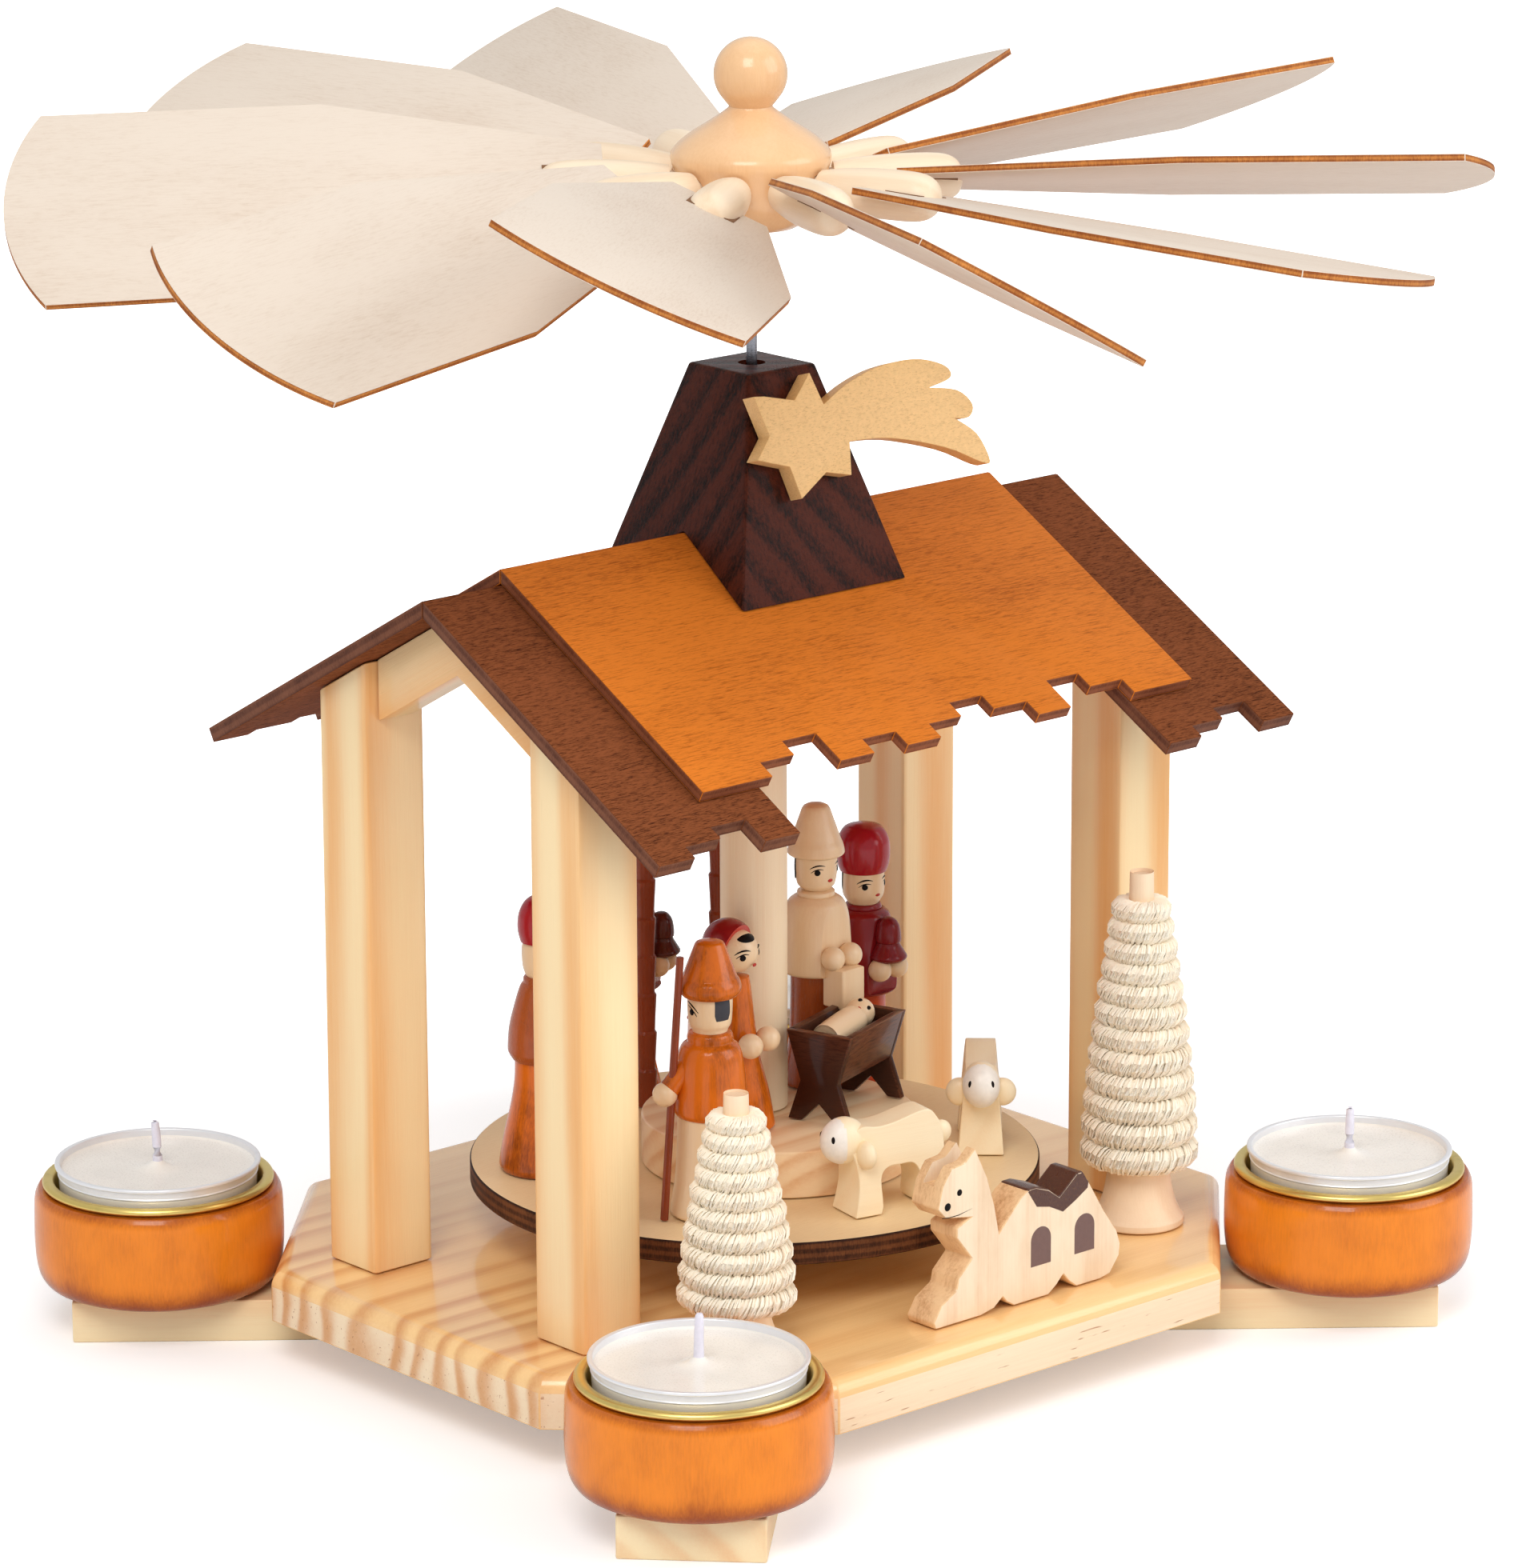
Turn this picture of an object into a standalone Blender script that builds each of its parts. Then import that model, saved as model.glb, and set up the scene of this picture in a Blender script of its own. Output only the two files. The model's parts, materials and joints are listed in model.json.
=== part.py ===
"""Candle carousel: a one-tier wooden candle pyramid with a stable, four tea lights and a ten-blade rotor.

Origin: the floor under the spindle. +X runs along the roof ridge, -Y is the front eave side and +Z is up.
All lengths are in metres.
"""

import math

import bmesh
import bpy
from mathutils import Matrix, Vector

# Clearances that every piece shares
GLUE_GAP = 0.0003
RUNNING_GAP = 0.0003
OVERRUN = 0.002
WELD = 0.000001

# Candle slats, halved together under the board
SLAT_THICK = 0.0080
SLAT_WIDTH = 0.0260
SLAT_REACH = 0.1276
SLAT_EASE = 0.0005
CANDLE_INSET = 0.0158
CANDLE_RADIUS = SLAT_REACH - CANDLE_INSET
SIDE_SLAT_ANGLE = math.radians(-40.2)
LONG_SLAT_ANGLE = math.radians(43.5)

# Base board
BOARD_LENGTH = 0.1700
BOARD_DEPTH = 0.1518
BOARD_THICK = 0.00995
BOARD_CORNER = 0.0374
BOARD_EDGE = 0.0032
ROUND_EDGE_SHARE = 0.5

# Posts and the gable frames between them
POST_SIDE = 0.0135
POST_X = 0.0660
POST_Y = 0.0297
POST_HEIGHT = 0.1120
POST_EASE = 0.0008
FRAME_DEPTH = 0.0100
FRAME_THICK = 0.0080

# Roof
ROOF_SLOPE = 0.555
ROOF_STRETCH = math.hypot(1, ROOF_SLOPE)
TOOTH = 0.00805
DARK_THICK = 0.0028
DARK_HALF_LENGTH = 0.0775
DARK_RUN = 0.0726
DARK_STEP = 0.0030
DARK_LEVELS = (0, 1, 2, 0)
ORANGE_THICK = 0.0023
ORANGE_HALF_LENGTH = 0.0597
ORANGE_RUN = 0.0622
ORANGE_STEP = 0.0038
ORANGE_LEVELS = (0, 0, 1, 2, 0, 1, 0, 1, 2, 1, 0, 2, 1, 0, 0)

# Chimney and comet
CHIMNEY_FOOT = 0.0201
CHIMNEY_TOP = 0.0082
CHIMNEY_HEIGHT = 0.0291
CHIMNEY_BORE = 0.0025
CHIMNEY_EASE = 0.0006
CHIMNEY_BORE_SIDES = 16
COMET_LENGTH = 0.0554
COMET_THICK = 0.0033
COMET_DROP = 0.0122
COMET_SIDE = -0.0020
COMET_OUTLINE_SHARES = (
    (-0.16, 0.155), (-0.115, 0.15), (0.01, 0.12), (0.095, 0.20), (0.13, 0.09), (0.24, 0.14), (0.37, 0.175),
    (0.50, 0.185), (0.60, 0.175), (0.69, 0.14), (0.70, 0.10), (0.60, 0.08), (0.72, 0.055), (0.775, 0.0),
    (0.75, -0.04), (0.685, -0.035), (0.77, -0.10), (0.805, -0.195), (0.765, -0.195), (0.62, -0.125),
    (0.39, -0.06), (0.21, -0.045), (0.19, -0.155), (0.085, -0.13), (-0.04, -0.20), (-0.065, -0.09),
    (-0.195, -0.05), (-0.125, 0.02),
)

# Candle cups, brass liners and tea lights
CUP_RADIUS = 0.0235
CUP_HEIGHT = 0.0188
CUP_HOLLOW = 0.0203
CUP_FLOOR = 0.0062
CUP_SIDES = 18
CUP_PROFILE_SHARES = (
    (0.85, 0.0), (0.92, 0.05), (0.97, 0.17), (1.0, 0.40), (1.0, 0.70), (0.985, 0.90), (0.96, 0.985),
)
CUP_LIP_SHARE = 0.945
LINER_WALL = 0.0006
LINER_BEAD = 0.0013
LIGHT_HEIGHT = 0.0160
LIGHT_RADIUS = 0.0186
LIGHT_FLANGE = 0.00065
LIGHT_FLANGE_THICK = 0.0007
LIGHT_TAPER = 0.0006
WAX_DROP = 0.0016
CAN_WALL = 0.0004
WICK_RADIUS = 0.0009
WICK_HEIGHT = 0.0094
WICK_FOOT_RADIUS = 0.0028

# Turntable, plinth, column, spindle and bearing pan
DISC_RADIUS = 0.0534
DISC_THICK = 0.0042
DISC_LIFT = 0.0093
DISC_SIDES = 48
PLINTH_RADIUS = 0.0256
PLINTH_THICK = 0.0089
PLINTH_SIDES = 32
PLINTH_OFFSET = (0.0013, -0.0052)
COLUMN_RADIUS = 0.00625
COLUMN_HEADROOM = 0.0070
COLUMN_EASE = 0.0008
COLUMN_SIDES = 18
SPINDLE_RADIUS = 0.0010
SPINDLE_POINT = 0.0022
SPINDLE_SIDES = 10
PAN_RADIUS = 0.0050
PAN_HEIGHT = 0.0046
PAN_FLOOR = 0.0014
PAN_RIM = 0.0011
PAN_SINK = 0.0040
PAN_SIDES = 18

# Hub
SPINDLE_SHOWS = 0.0253
HUB_RADIUS = 0.0146
HUB_HEIGHT = 0.0218
PEG_LEVEL = 0.0080
BALL_RADIUS = 0.0067
BALL_LIFT = 0.0276
HUB_SEAT = 0.0160
HUB_SIDES = 20
BALL_RINGS = 6
HUB_PROFILE_SHARES = (
    (0.58, 0.0), (0.70, 0.06), (0.90, 0.24), (0.96, 0.46), (1.0, 0.57), (0.96, 0.65),
    (0.78, 0.76), (0.50, 0.88), (0.31, 0.97), (0.27, 1.0),
)

# Blades and the pegs that hold them
BLADES = 10
FIRST_BLADE = math.radians(-35.7)
PEG_RADIUS = 0.0045
PEG_NECK = 0.0033
PEG_END = 0.0385
TENON_RADIUS = 0.0022
TENON_LENGTH = 0.0036
PEG_SIDES = 10
PEG_PROFILE_SHARES = ((0.0, 0.0), (0.22, 0.62), (0.50, 1.0), (0.82, 0.94), (0.96, 0.55))
BLADE_START = 0.0265
BLADE_KINK = 0.0767
BLADE_CORNER = 0.1274
BLADE_TIP = 0.1345
BLADE_START_WIDTH = 0.0186
BLADE_KINK_WIDTH = 0.0452
BLADE_CORNER_WIDTH = 0.0462
BLADE_THICK = 0.0014
BLADE_HOLD = 0.0300
TIP_STEPS = 8
PITCH_DEGREES = (17, 23, 16, 31, 26, 37, 29, 24, 30, 10)
SWING_DEGREES = (-7, -2.5, -1.5, 2, -2.5, 0, 9, 1.5, -3, -4.5)
DROOP_DEGREES = (-1.7, 0.5, -1.2, 2, 0, -2.4, -0.3, 4, -1.5, -3.5)

# Shaved trees: foot, rings of curls and a stub of stem at the top
TREE_PLACES = {"right": (0.0527, -0.0490), "front": (-0.0495, -0.0510)}
TREE_HEIGHTS = {"right": 0.0675, "front": 0.0470}
TREE_RADII = {"right": 0.01095, "front": 0.0105}
TREE_RINGS = {"right": 12, "front": 10}
TREE_FOOT_RADIUS = 0.0086
TREE_FOOT_SHARES = ((1.0, 0.0), (1.0, 0.11), (0.92, 0.17), (0.74, 0.55), (0.65, 1.0))
TREE_FOOT_SHARE = 0.175
TREE_STEM_SHARE = 0.93
TREE_TOP_SHARE = 0.50
TREE_TAPER_POWER = 1.3
TREE_SIDES = 12
TREE_CURL = math.radians(42)
STEM_RADIUS = 0.00215

# Camel, sawn from a board, its flat side to the front
CAMEL_PLACE = (-0.0177, -0.0682)
CAMEL_LENGTH = 0.0468
CAMEL_HEIGHT = 0.0321
CAMEL_THICK = 0.0072
CAMEL_EAR_THICK = 0.0022
CAMEL_EAR_HEIGHT = 0.0060
CAMEL_OUTLINE_SHARES = (
    (0.0, 0.04), (0.04, 0.13), (0.12, 0.195), (0.13, 0.26), (0.20, 0.355), (0.12, 0.50), (0.12, 0.56),
    (0.19, 0.60), (0.06, 0.635), (0.02, 0.70), (0.045, 0.83), (0.09, 0.92), (0.16, 0.93), (0.215, 1.0),
    (0.28, 0.81), (0.32, 0.63), (0.345, 0.46), (0.41, 0.56), (0.46, 0.63), (0.50, 0.665), (0.54, 0.665),
    (0.61, 0.63), (0.665, 0.57), (0.70, 0.61), (0.76, 0.68), (0.79, 0.68), (0.825, 0.605), (0.91, 0.405),
    (0.98, 0.265), (1.0, 0.18), (0.995, 0.11), (0.945, 0.015), (0.89, 0.0), (0.76, 0.0), (0.72, 0.045),
    (0.69, 0.095), (0.655, 0.045), (0.61, 0.0), (0.425, 0.0), (0.385, 0.035), (0.365, 0.07), (0.32, 0.02),
    (0.25, 0.0), (0.01, 0.0),
)

# Sheep: a sawn body that narrows towards the back, a round head, hanging ears and a stub of a tail
SHEEP_LENGTH = 0.0205
SHEEP_HEIGHT = 0.0180
SHEEP_THICK = 0.0086
SHEEP_BACK_SHARE = 0.66
SHEEP_PLACES = {"side": (-0.0024, -0.0403), "facing": (0.0362, -0.0233)}
SHEEP_TURNS = {"side": math.radians(-11), "facing": math.radians(47)}
SHEEP_OUTLINE_SHARES = (
    (-0.49, 0.0), (-0.22, 0.0), (-0.21, 0.36), (-0.14, 0.47), (0.0, 0.48), (0.14, 0.46), (0.22, 0.27),
    (0.24, 0.0), (0.50, 0.0), (0.46, 0.22), (0.45, 0.72), (0.38, 0.92), (0.27, 1.0), (-0.04, 0.93),
    (-0.22, 0.91), (-0.40, 0.93), (-0.52, 0.80), (-0.46, 0.55), (-0.44, 0.30),
)
SHEEP_LUMP_SHARES = {
    "head": ((-0.50, 0, 0.775), (0.22, 0.42, 0.245)),
    "left_ear": ((-0.38, -0.465, 0.655), (0.083, 0.30, 0.15)),
    "right_ear": ((-0.38, 0.465, 0.655), (0.083, 0.30, 0.15)),
    "tail": ((0.517, 0, 0.678), (0.107, 0.175, 0.122)),
}

# Palms: a ringed trunk under a crown of drooping fronds
PALM_PLACES = ((0.0031, 0.0347), (0.0163, 0.0283))
PALM_HEIGHT = 0.0680
PALM_RADIUS = 0.0021
PALM_RINGS = 9
PALM_SIDES = 10
PALM_HEAD_RINGS = 7
PALM_WAIST_SHARE = 0.84
PALM_FRONDS = 6
FROND_SHARE = 0.475
FROND_REACH = math.dist(*PALM_PLACES) * FROND_SHARE
FROND_WIDTH = 0.0032
FROND_THICK = 0.0012
FROND_FALL = 0.0035
PALM_HEAD = 0.0028

# Manger with the child
MANGER_PLACE = (0.0113, -0.0132)
MANGER_TURN = math.radians(19)
MANGER_LENGTH = 0.0218
MANGER_HEIGHT = 0.0163
MANGER_BOARD = 0.0016
MANGER_TOP = 0.0136
MANGER_WAIST = 0.0078
MANGER_FEET = 0.0130
MANGER_WAIST_SHARE = 0.46
MANGER_FLOOR_SHARE = 0.66
MANGER_CROTCH_SHARE = 0.22
MANGER_FOOT = 0.0029
CHILD_RADIUS = 0.0027
CHILD_HEAD = 0.0026
CHILD_FOOT_END = 0.0066
CHILD_HEAD_END = 0.0052
CHILD_RISE = 0.0010
CHILD_SINK = 0.0007
CHILD_SIDES = 10

# Turned figures: the shares of the profiles follow each figure's radius and height
FIGURE_SIDES = 12
ROBE_SHARES = (
    (0.98, 0.0), (1.0, 0.02), (0.80, 0.15), (0.72, 0.40), (0.95, 0.402), (1.0, 0.43), (0.97, 0.53),
    (0.82, 0.645), (0.53, 0.67), (0.53, 0.70), (0.38, 0.702),
)
BELL_SHARES = (
    (1.38, 0.0), (1.40, 0.03), (1.18, 0.13), (0.96, 0.24), (0.89, 0.40), (0.97, 0.402), (1.0, 0.44),
    (0.93, 0.52), (0.78, 0.63), (0.53, 0.67), (0.53, 0.70), (0.38, 0.702),
)
CAPE_SHARES = (
    (1.10, 0.0), (1.12, 0.02), (0.97, 0.18), (0.92, 0.37), (0.96, 0.372), (1.0, 0.40), (0.93, 0.50),
    (0.81, 0.61), (0.63, 0.64), (0.63, 0.67), (0.38, 0.675),
)
CLOAK_SHARES = (
    (0.98, 0.0), (1.0, 0.03), (0.86, 0.17), (0.60, 0.36), (0.50, 0.50), (0.42, 0.64), (0.32, 0.71),
)
CONE_HAT_SHARES = (
    (0.55, 0.722), (0.60, 0.76), (0.61, 0.815), (0.72, 0.823), (0.81, 0.85), (0.73, 0.88), (0.53, 0.935),
    (0.37, 0.99), (0.31, 1.0),
)
WIDE_HAT_SHARES = (
    (0.56, 0.70), (0.61, 0.74), (0.62, 0.787), (0.75, 0.80), (0.87, 0.84), (0.79, 0.875), (0.53, 0.94),
    (0.41, 0.985), (0.36, 1.0),
)
TURBAN_SHARES = (
    (0.55, 0.722), (0.60, 0.76), (0.61, 0.82), (0.70, 0.835), (0.775, 0.875), (0.77, 0.92), (0.62, 0.965),
    (0.33, 0.993), (0.15, 1.0),
)
BARE_HEAD_SHARES = ((0.47, 0.755), (0.58, 0.81), (0.585, 0.86), (0.46, 0.92), (0.22, 0.95))
HAND_RADIUS = 0.0023
HAND_SPREAD = math.radians(17)
HAND_SINK = 0.0007
FLAT_SHARE = 0.80
FLAT_LOW_SHARE = 0.405
FLAT_HIGH_SHARE = 0.67
GIFT_SIDE = 0.0058
GIFT_HEIGHT = 0.0078
VESSEL_RADIUS = 0.0036
VESSEL_HEIGHT = 0.0086
VESSEL_SIDES = 10
VESSEL_SHARES = (
    (0.80, 0.0), (1.0, 0.09), (0.97, 0.16), (0.70, 0.28), (0.62, 0.40), (0.62, 0.75), (0.45, 0.93),
)
HOOD_RADIUS = 0.0048
HOOD_BACK = 0.0019
HOOD_RISE = 0.0010
HOOD_RINGS = 8
HEAD_LEVEL_SHARE = 0.843
SLEEVE_RADIUS = 0.0025
CUFF_RADIUS = 0.0019
SLEEVE_DROP = 0.0060
STAFF_TURN = math.radians(35)
STAFF_RADIUS = 0.0007
STAFF_LENGTH = 0.0495
STAFF_LEAN = 0.0030
FIGURES = {
    "figure_gift_bearer": {
        "on": "plinth", "place": (0.0181, 0.0028), "height": 0.0545, "radius": 0.0067,
        "facing": math.radians(-88), "shares": ROBE_SHARES + CONE_HAT_SHARES, "hand_share": 0.475,
        "carries": "gift",
    },
    "figure_mother": {
        "on": "plinth", "place": (-0.0114, -0.0081), "height": 0.0402, "radius": 0.0069,
        "facing": math.radians(-75), "shares": CLOAK_SHARES + BARE_HEAD_SHARES, "hand_share": 0.43,
        "carries": "hood",
    },
    "figure_shepherd": {
        "on": "disc", "place": (-0.0299, -0.0217), "height": 0.0516, "radius": 0.0067,
        "facing": math.radians(128), "shares": CAPE_SHARES + WIDE_HAT_SHARES, "hand_share": 0.46,
        "carries": "staff",
    },
    "figure_red_turban": {
        "on": "disc", "place": (0.0382, 0.0116), "height": 0.0546, "radius": 0.0067,
        "facing": math.radians(-88), "shares": ROBE_SHARES + TURBAN_SHARES, "hand_share": 0.495,
        "carries": "vessel",
    },
    "figure_behind_palm": {
        "on": "disc", "place": (0.0062, 0.0434), "height": 0.0540, "radius": 0.0065,
        "facing": math.radians(-60), "shares": ROBE_SHARES + TURBAN_SHARES, "hand_share": 0.495,
        "carries": "vessel",
    },
    "figure_bell_robe": {
        "on": "disc", "place": (-0.0353, 0.0193), "height": 0.0526, "radius": 0.0060,
        "facing": math.radians(-30), "shares": BELL_SHARES + TURBAN_SHARES, "hand_share": 0.447,
        "carries": "nothing",
    },
}

# Levels that stack up from the floor
BOARD_UNDER = SLAT_THICK + GLUE_GAP
BOARD_LEVEL = BOARD_UNDER + BOARD_THICK
STANDING_LEVEL = BOARD_LEVEL + GLUE_GAP
DARK_UNDER = STANDING_LEVEL + POST_HEIGHT + ROOF_SLOPE * POST_Y + GLUE_GAP * ROOF_STRETCH
DARK_RIDGE = DARK_UNDER + DARK_THICK * ROOF_STRETCH
ORANGE_UNDER = DARK_RIDGE + GLUE_GAP * ROOF_STRETCH
ORANGE_RIDGE = ORANGE_UNDER + ORANGE_THICK * ROOF_STRETCH
CHIMNEY_LEVEL = ORANGE_RIDGE + CHIMNEY_HEIGHT
DISC_UNDER = BOARD_LEVEL + DISC_LIFT
DISC_LEVEL = DISC_UNDER + DISC_THICK
PLINTH_UNDER = DISC_LEVEL + GLUE_GAP
PLINTH_LEVEL = PLINTH_UNDER + PLINTH_THICK
COLUMN_UNDER = PLINTH_LEVEL + GLUE_GAP
COLUMN_LEVEL = ORANGE_UNDER - ROOF_SLOPE * COLUMN_RADIUS - COLUMN_HEADROOM
HUB_UNDER = CHIMNEY_LEVEL + SPINDLE_SHOWS
PAN_UNDER = BOARD_LEVEL - PAN_SINK + GLUE_GAP
LEVELS = {"disc": DISC_LEVEL + GLUE_GAP, "plinth": PLINTH_LEVEL + GLUE_GAP}

# Colour, roughness and metallic value of each finish
FINISHES = {
    "pine": ((0.87, 0.66, 0.36, 1), 0.45, 0),
    "pale_wood": ((0.84, 0.68, 0.44, 1), 0.5, 0),
    "beech": ((0.80, 0.56, 0.32, 1), 0.4, 0),
    "birch_ply": ((0.82, 0.71, 0.54, 1), 0.55, 0),
    "orange_stain": ((0.48, 0.13, 0.02, 1), 0.45, 0),
    "walnut_stain": ((0.13, 0.045, 0.02, 1), 0.5, 0),
    "dark_stain": ((0.045, 0.012, 0.007, 1), 0.35, 0),
    "cup_stain": ((0.52, 0.13, 0.02, 1), 0.3, 0),
    "gold_paint": ((0.62, 0.36, 0.09, 1), 0.4, 0.4),
    "brass": ((0.60, 0.42, 0.12, 1), 0.25, 1),
    "light": ((0.85, 0.83, 0.78, 1), 0.35, 0),
    "steel": ((0.55, 0.56, 0.58, 1), 0.25, 1),
    "red_stain": ((0.30, 0.01, 0.015, 1), 0.3, 0),
    "robe_stain": ((0.40, 0.10, 0.02, 1), 0.35, 0),
    "sheep_wood": ((0.86, 0.70, 0.42, 1), 0.5, 0),
}


def clear_scene():
    """Remove every object that the scene starts with."""
    for obj in list(bpy.data.objects):
        bpy.data.objects.remove(obj, do_unlink=True)


def finish(name):
    """The material of this finish, made once."""
    material = bpy.data.materials.get(name)
    if material:
        return material
    colour, roughness, metallic = FINISHES[name]
    material = bpy.data.materials.new(name)
    material.use_nodes = True
    shader = material.node_tree.nodes["Principled BSDF"]
    shader.inputs["Base Color"].default_value = colour
    shader.inputs["Roughness"].default_value = roughness
    shader.inputs["Metallic"].default_value = metallic
    return material


def add_object(name, bm, finish_name, parent=None, smooth=False):
    """A named object from a bmesh, its faces pointing out."""
    bm.normal_update()
    bmesh.ops.recalc_face_normals(bm, faces=bm.faces)
    mesh = bpy.data.meshes.new(name)
    bm.to_mesh(mesh)
    bm.free()
    if smooth:
        mesh.shade_smooth()
        mesh.set_sharp_from_angle(angle=math.radians(35))
    mesh.materials.append(finish(finish_name))
    obj = bpy.data.objects.new(name, mesh)
    obj.parent = parent
    bpy.context.scene.collection.objects.link(obj)
    return obj


def add_pivot(name, place, parent=None, turn=0):
    """An empty on a joint's axis."""
    pivot = bpy.data.objects.new(name, None)
    pivot.location = place
    pivot.rotation_euler = (0, 0, turn)
    pivot.parent = parent
    bpy.context.scene.collection.objects.link(pivot)
    return pivot


def extrusion(outline, low, high):
    """A prism over a closed outline of (x, y) points, from z = low to z = high."""
    bm = bmesh.new()
    face = bm.faces.new([bm.verts.new((x, y, low)) for x, y in outline])
    made = bmesh.ops.extrude_face_region(bm, geom=[face])
    top = [v for v in made["geom"] if isinstance(v, bmesh.types.BMVert)]
    bmesh.ops.translate(bm, verts=top, vec=(0, 0, high - low))
    return bm


def turned(profile, sides):
    """A solid turned about Z from (radius, z) points, which start and end on the axis."""
    bm = bmesh.new()
    verts = [bm.verts.new((radius, 0, z)) for radius, z in profile]
    edges = [bm.edges.new(pair) for pair in zip(verts, verts[1:])]
    bmesh.ops.spin(
        bm, geom=verts + edges, cent=(0, 0, 0), axis=(0, 0, 1),
        angle=math.tau, steps=sides, use_merge=True)
    bmesh.ops.remove_doubles(bm, verts=bm.verts, dist=WELD)
    return bm


def block(low, high):
    """A box between two corners."""
    bm = bmesh.new()
    bmesh.ops.create_cube(bm, size=1)
    low, high = Vector(low), Vector(high)
    bmesh.ops.scale(bm, vec=high - low, verts=bm.verts)
    bmesh.ops.translate(bm, vec=(low + high) / 2, verts=bm.verts)
    return bm


def ball(centre, radius, sides=8, rings=6):
    """A ball round a point."""
    bm = bmesh.new()
    bmesh.ops.create_uvsphere(bm, u_segments=sides, v_segments=rings, radius=radius)
    bmesh.ops.translate(bm, vec=centre, verts=bm.verts)
    return bm


def pebble(centre, size, sides=8, rings=6):
    """An ellipsoid round a point, from its half sizes."""
    bm = ball((0, 0, 0), 1, sides, rings)
    bmesh.ops.scale(bm, vec=size, verts=bm.verts)
    bmesh.ops.translate(bm, vec=centre, verts=bm.verts)
    return bm


def rod(start, end, start_radius, end_radius, sides=8):
    """A round bar between two points, with its own radius at each end."""
    bm = bmesh.new()
    start, end = Vector(start), Vector(end)
    bmesh.ops.create_cone(
        bm, cap_ends=True, segments=sides,
        radius1=start_radius, radius2=end_radius, depth=(end - start).length)
    turn = (end - start).to_track_quat("Z", "Y").to_matrix().to_4x4()
    bmesh.ops.transform(bm, matrix=Matrix.Translation((start + end) / 2) @ turn, verts=bm.verts)
    return bm


def helper(name, bm, parent=None):
    """A cutter or an addition, which is hidden and only feeds a Boolean."""
    obj = add_object(name, bm, "pine", parent)
    obj.hide_render = True
    obj.display_type = "WIRE"
    return obj


def combine(obj, other, operation):
    """A Boolean of another object with this one."""
    modifier = obj.modifiers.new(other.name, "BOOLEAN")
    modifier.operation = operation
    modifier.object = other
    modifier.solver = "EXACT"


def ease(obj, width):
    """A small chamfer along the sharp edges."""
    modifier = obj.modifiers.new("ease", "BEVEL")
    modifier.width = width
    modifier.segments = 1
    modifier.limit_method = "ANGLE"


def around(radius, angle):
    """The (x, y) point at this radius and angle."""
    return Vector((radius * math.cos(angle), radius * math.sin(angle)))


def on_axis(profile_shares, radius, height, base=0):
    """Profile points from shares of a radius and of a height above a base."""
    return [(share_r * radius, base + share_z * height) for share_r, share_z in profile_shares]


def slat_box(length, width, low, high, angle):
    """A flat bar through the axis, turned to its angle."""
    bm = block((-length, -width / 2, low), (length, width / 2, high))
    bmesh.ops.rotate(bm, cent=(0, 0, 0), matrix=Matrix.Rotation(angle, 3, "Z"), verts=bm.verts)
    return bm


def build_slats():
    """Two slats, halved where they cross."""
    half = SLAT_THICK / 2
    notch = SLAT_WIDTH + 2 * GLUE_GAP
    lap = GLUE_GAP / 2
    side = slat_box(SLAT_REACH, SLAT_WIDTH, 0, SLAT_THICK, SIDE_SLAT_ANGLE)
    side = add_object("slat_left_right", side, "pale_wood")
    long = slat_box(SLAT_REACH, SLAT_WIDTH, 0, SLAT_THICK, LONG_SLAT_ANGLE)
    long = add_object("slat_front_back", long, "pale_wood")
    for obj in (side, long):
        ease(obj, SLAT_EASE)
    upper = slat_box(SLAT_WIDTH, notch, half - lap, SLAT_THICK + OVERRUN, LONG_SLAT_ANGLE)
    lower = slat_box(SLAT_WIDTH, notch, -OVERRUN, half + lap, SIDE_SLAT_ANGLE)
    combine(side, helper("cut_upper_lap", upper), "DIFFERENCE")
    combine(long, helper("cut_lower_lap", lower), "DIFFERENCE")


def board_outline():
    """The board's outline: a rectangle with its corners cut off."""
    x, y = BOARD_LENGTH / 2, BOARD_DEPTH / 2
    inner_x, inner_y = x - BOARD_CORNER, y - BOARD_CORNER
    right = [(inner_x, -y), (x, -inner_y), (x, inner_y), (inner_x, y)]
    return right + [(-px, -py) for px, py in right]


def build_board():
    """The base board, with a moulded top edge and a seat for the bearing pan."""
    bm = extrusion(board_outline(), BOARD_UNDER, BOARD_LEVEL)
    top = [e for e in bm.edges if all(v.co.z > BOARD_UNDER + BOARD_THICK / 2 for v in e.verts)]
    bmesh.ops.bevel(bm, geom=top, offset=BOARD_EDGE, segments=2, profile=ROUND_EDGE_SHARE, affect="EDGES")
    board = add_object("base_board", bm, "pine")
    seat = [(0, BOARD_LEVEL - PAN_SINK), (PAN_RADIUS + GLUE_GAP, BOARD_LEVEL - PAN_SINK)]
    seat += [(PAN_RADIUS + GLUE_GAP, BOARD_LEVEL + OVERRUN), (0, BOARD_LEVEL + OVERRUN)]
    combine(board, helper("cut_pan_seat", turned(seat, PAN_SIDES)), "DIFFERENCE")


def under_roof(y, clearance):
    """The height of the dark boards' underside at y, less a clearance square to the slope."""
    return DARK_UNDER - ROOF_SLOPE * abs(y) - clearance * ROOF_STRETCH


def upright(outline, x_low, x_high):
    """A prism along X over a closed outline of (y, z) points."""
    bm = extrusion(outline, x_low, x_high)
    swap = Matrix(((0, 0, 1, 0), (1, 0, 0, 0), (0, 1, 0, 0), (0, 0, 0, 1)))
    bmesh.ops.transform(bm, matrix=swap, verts=bm.verts)
    return bm


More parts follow.
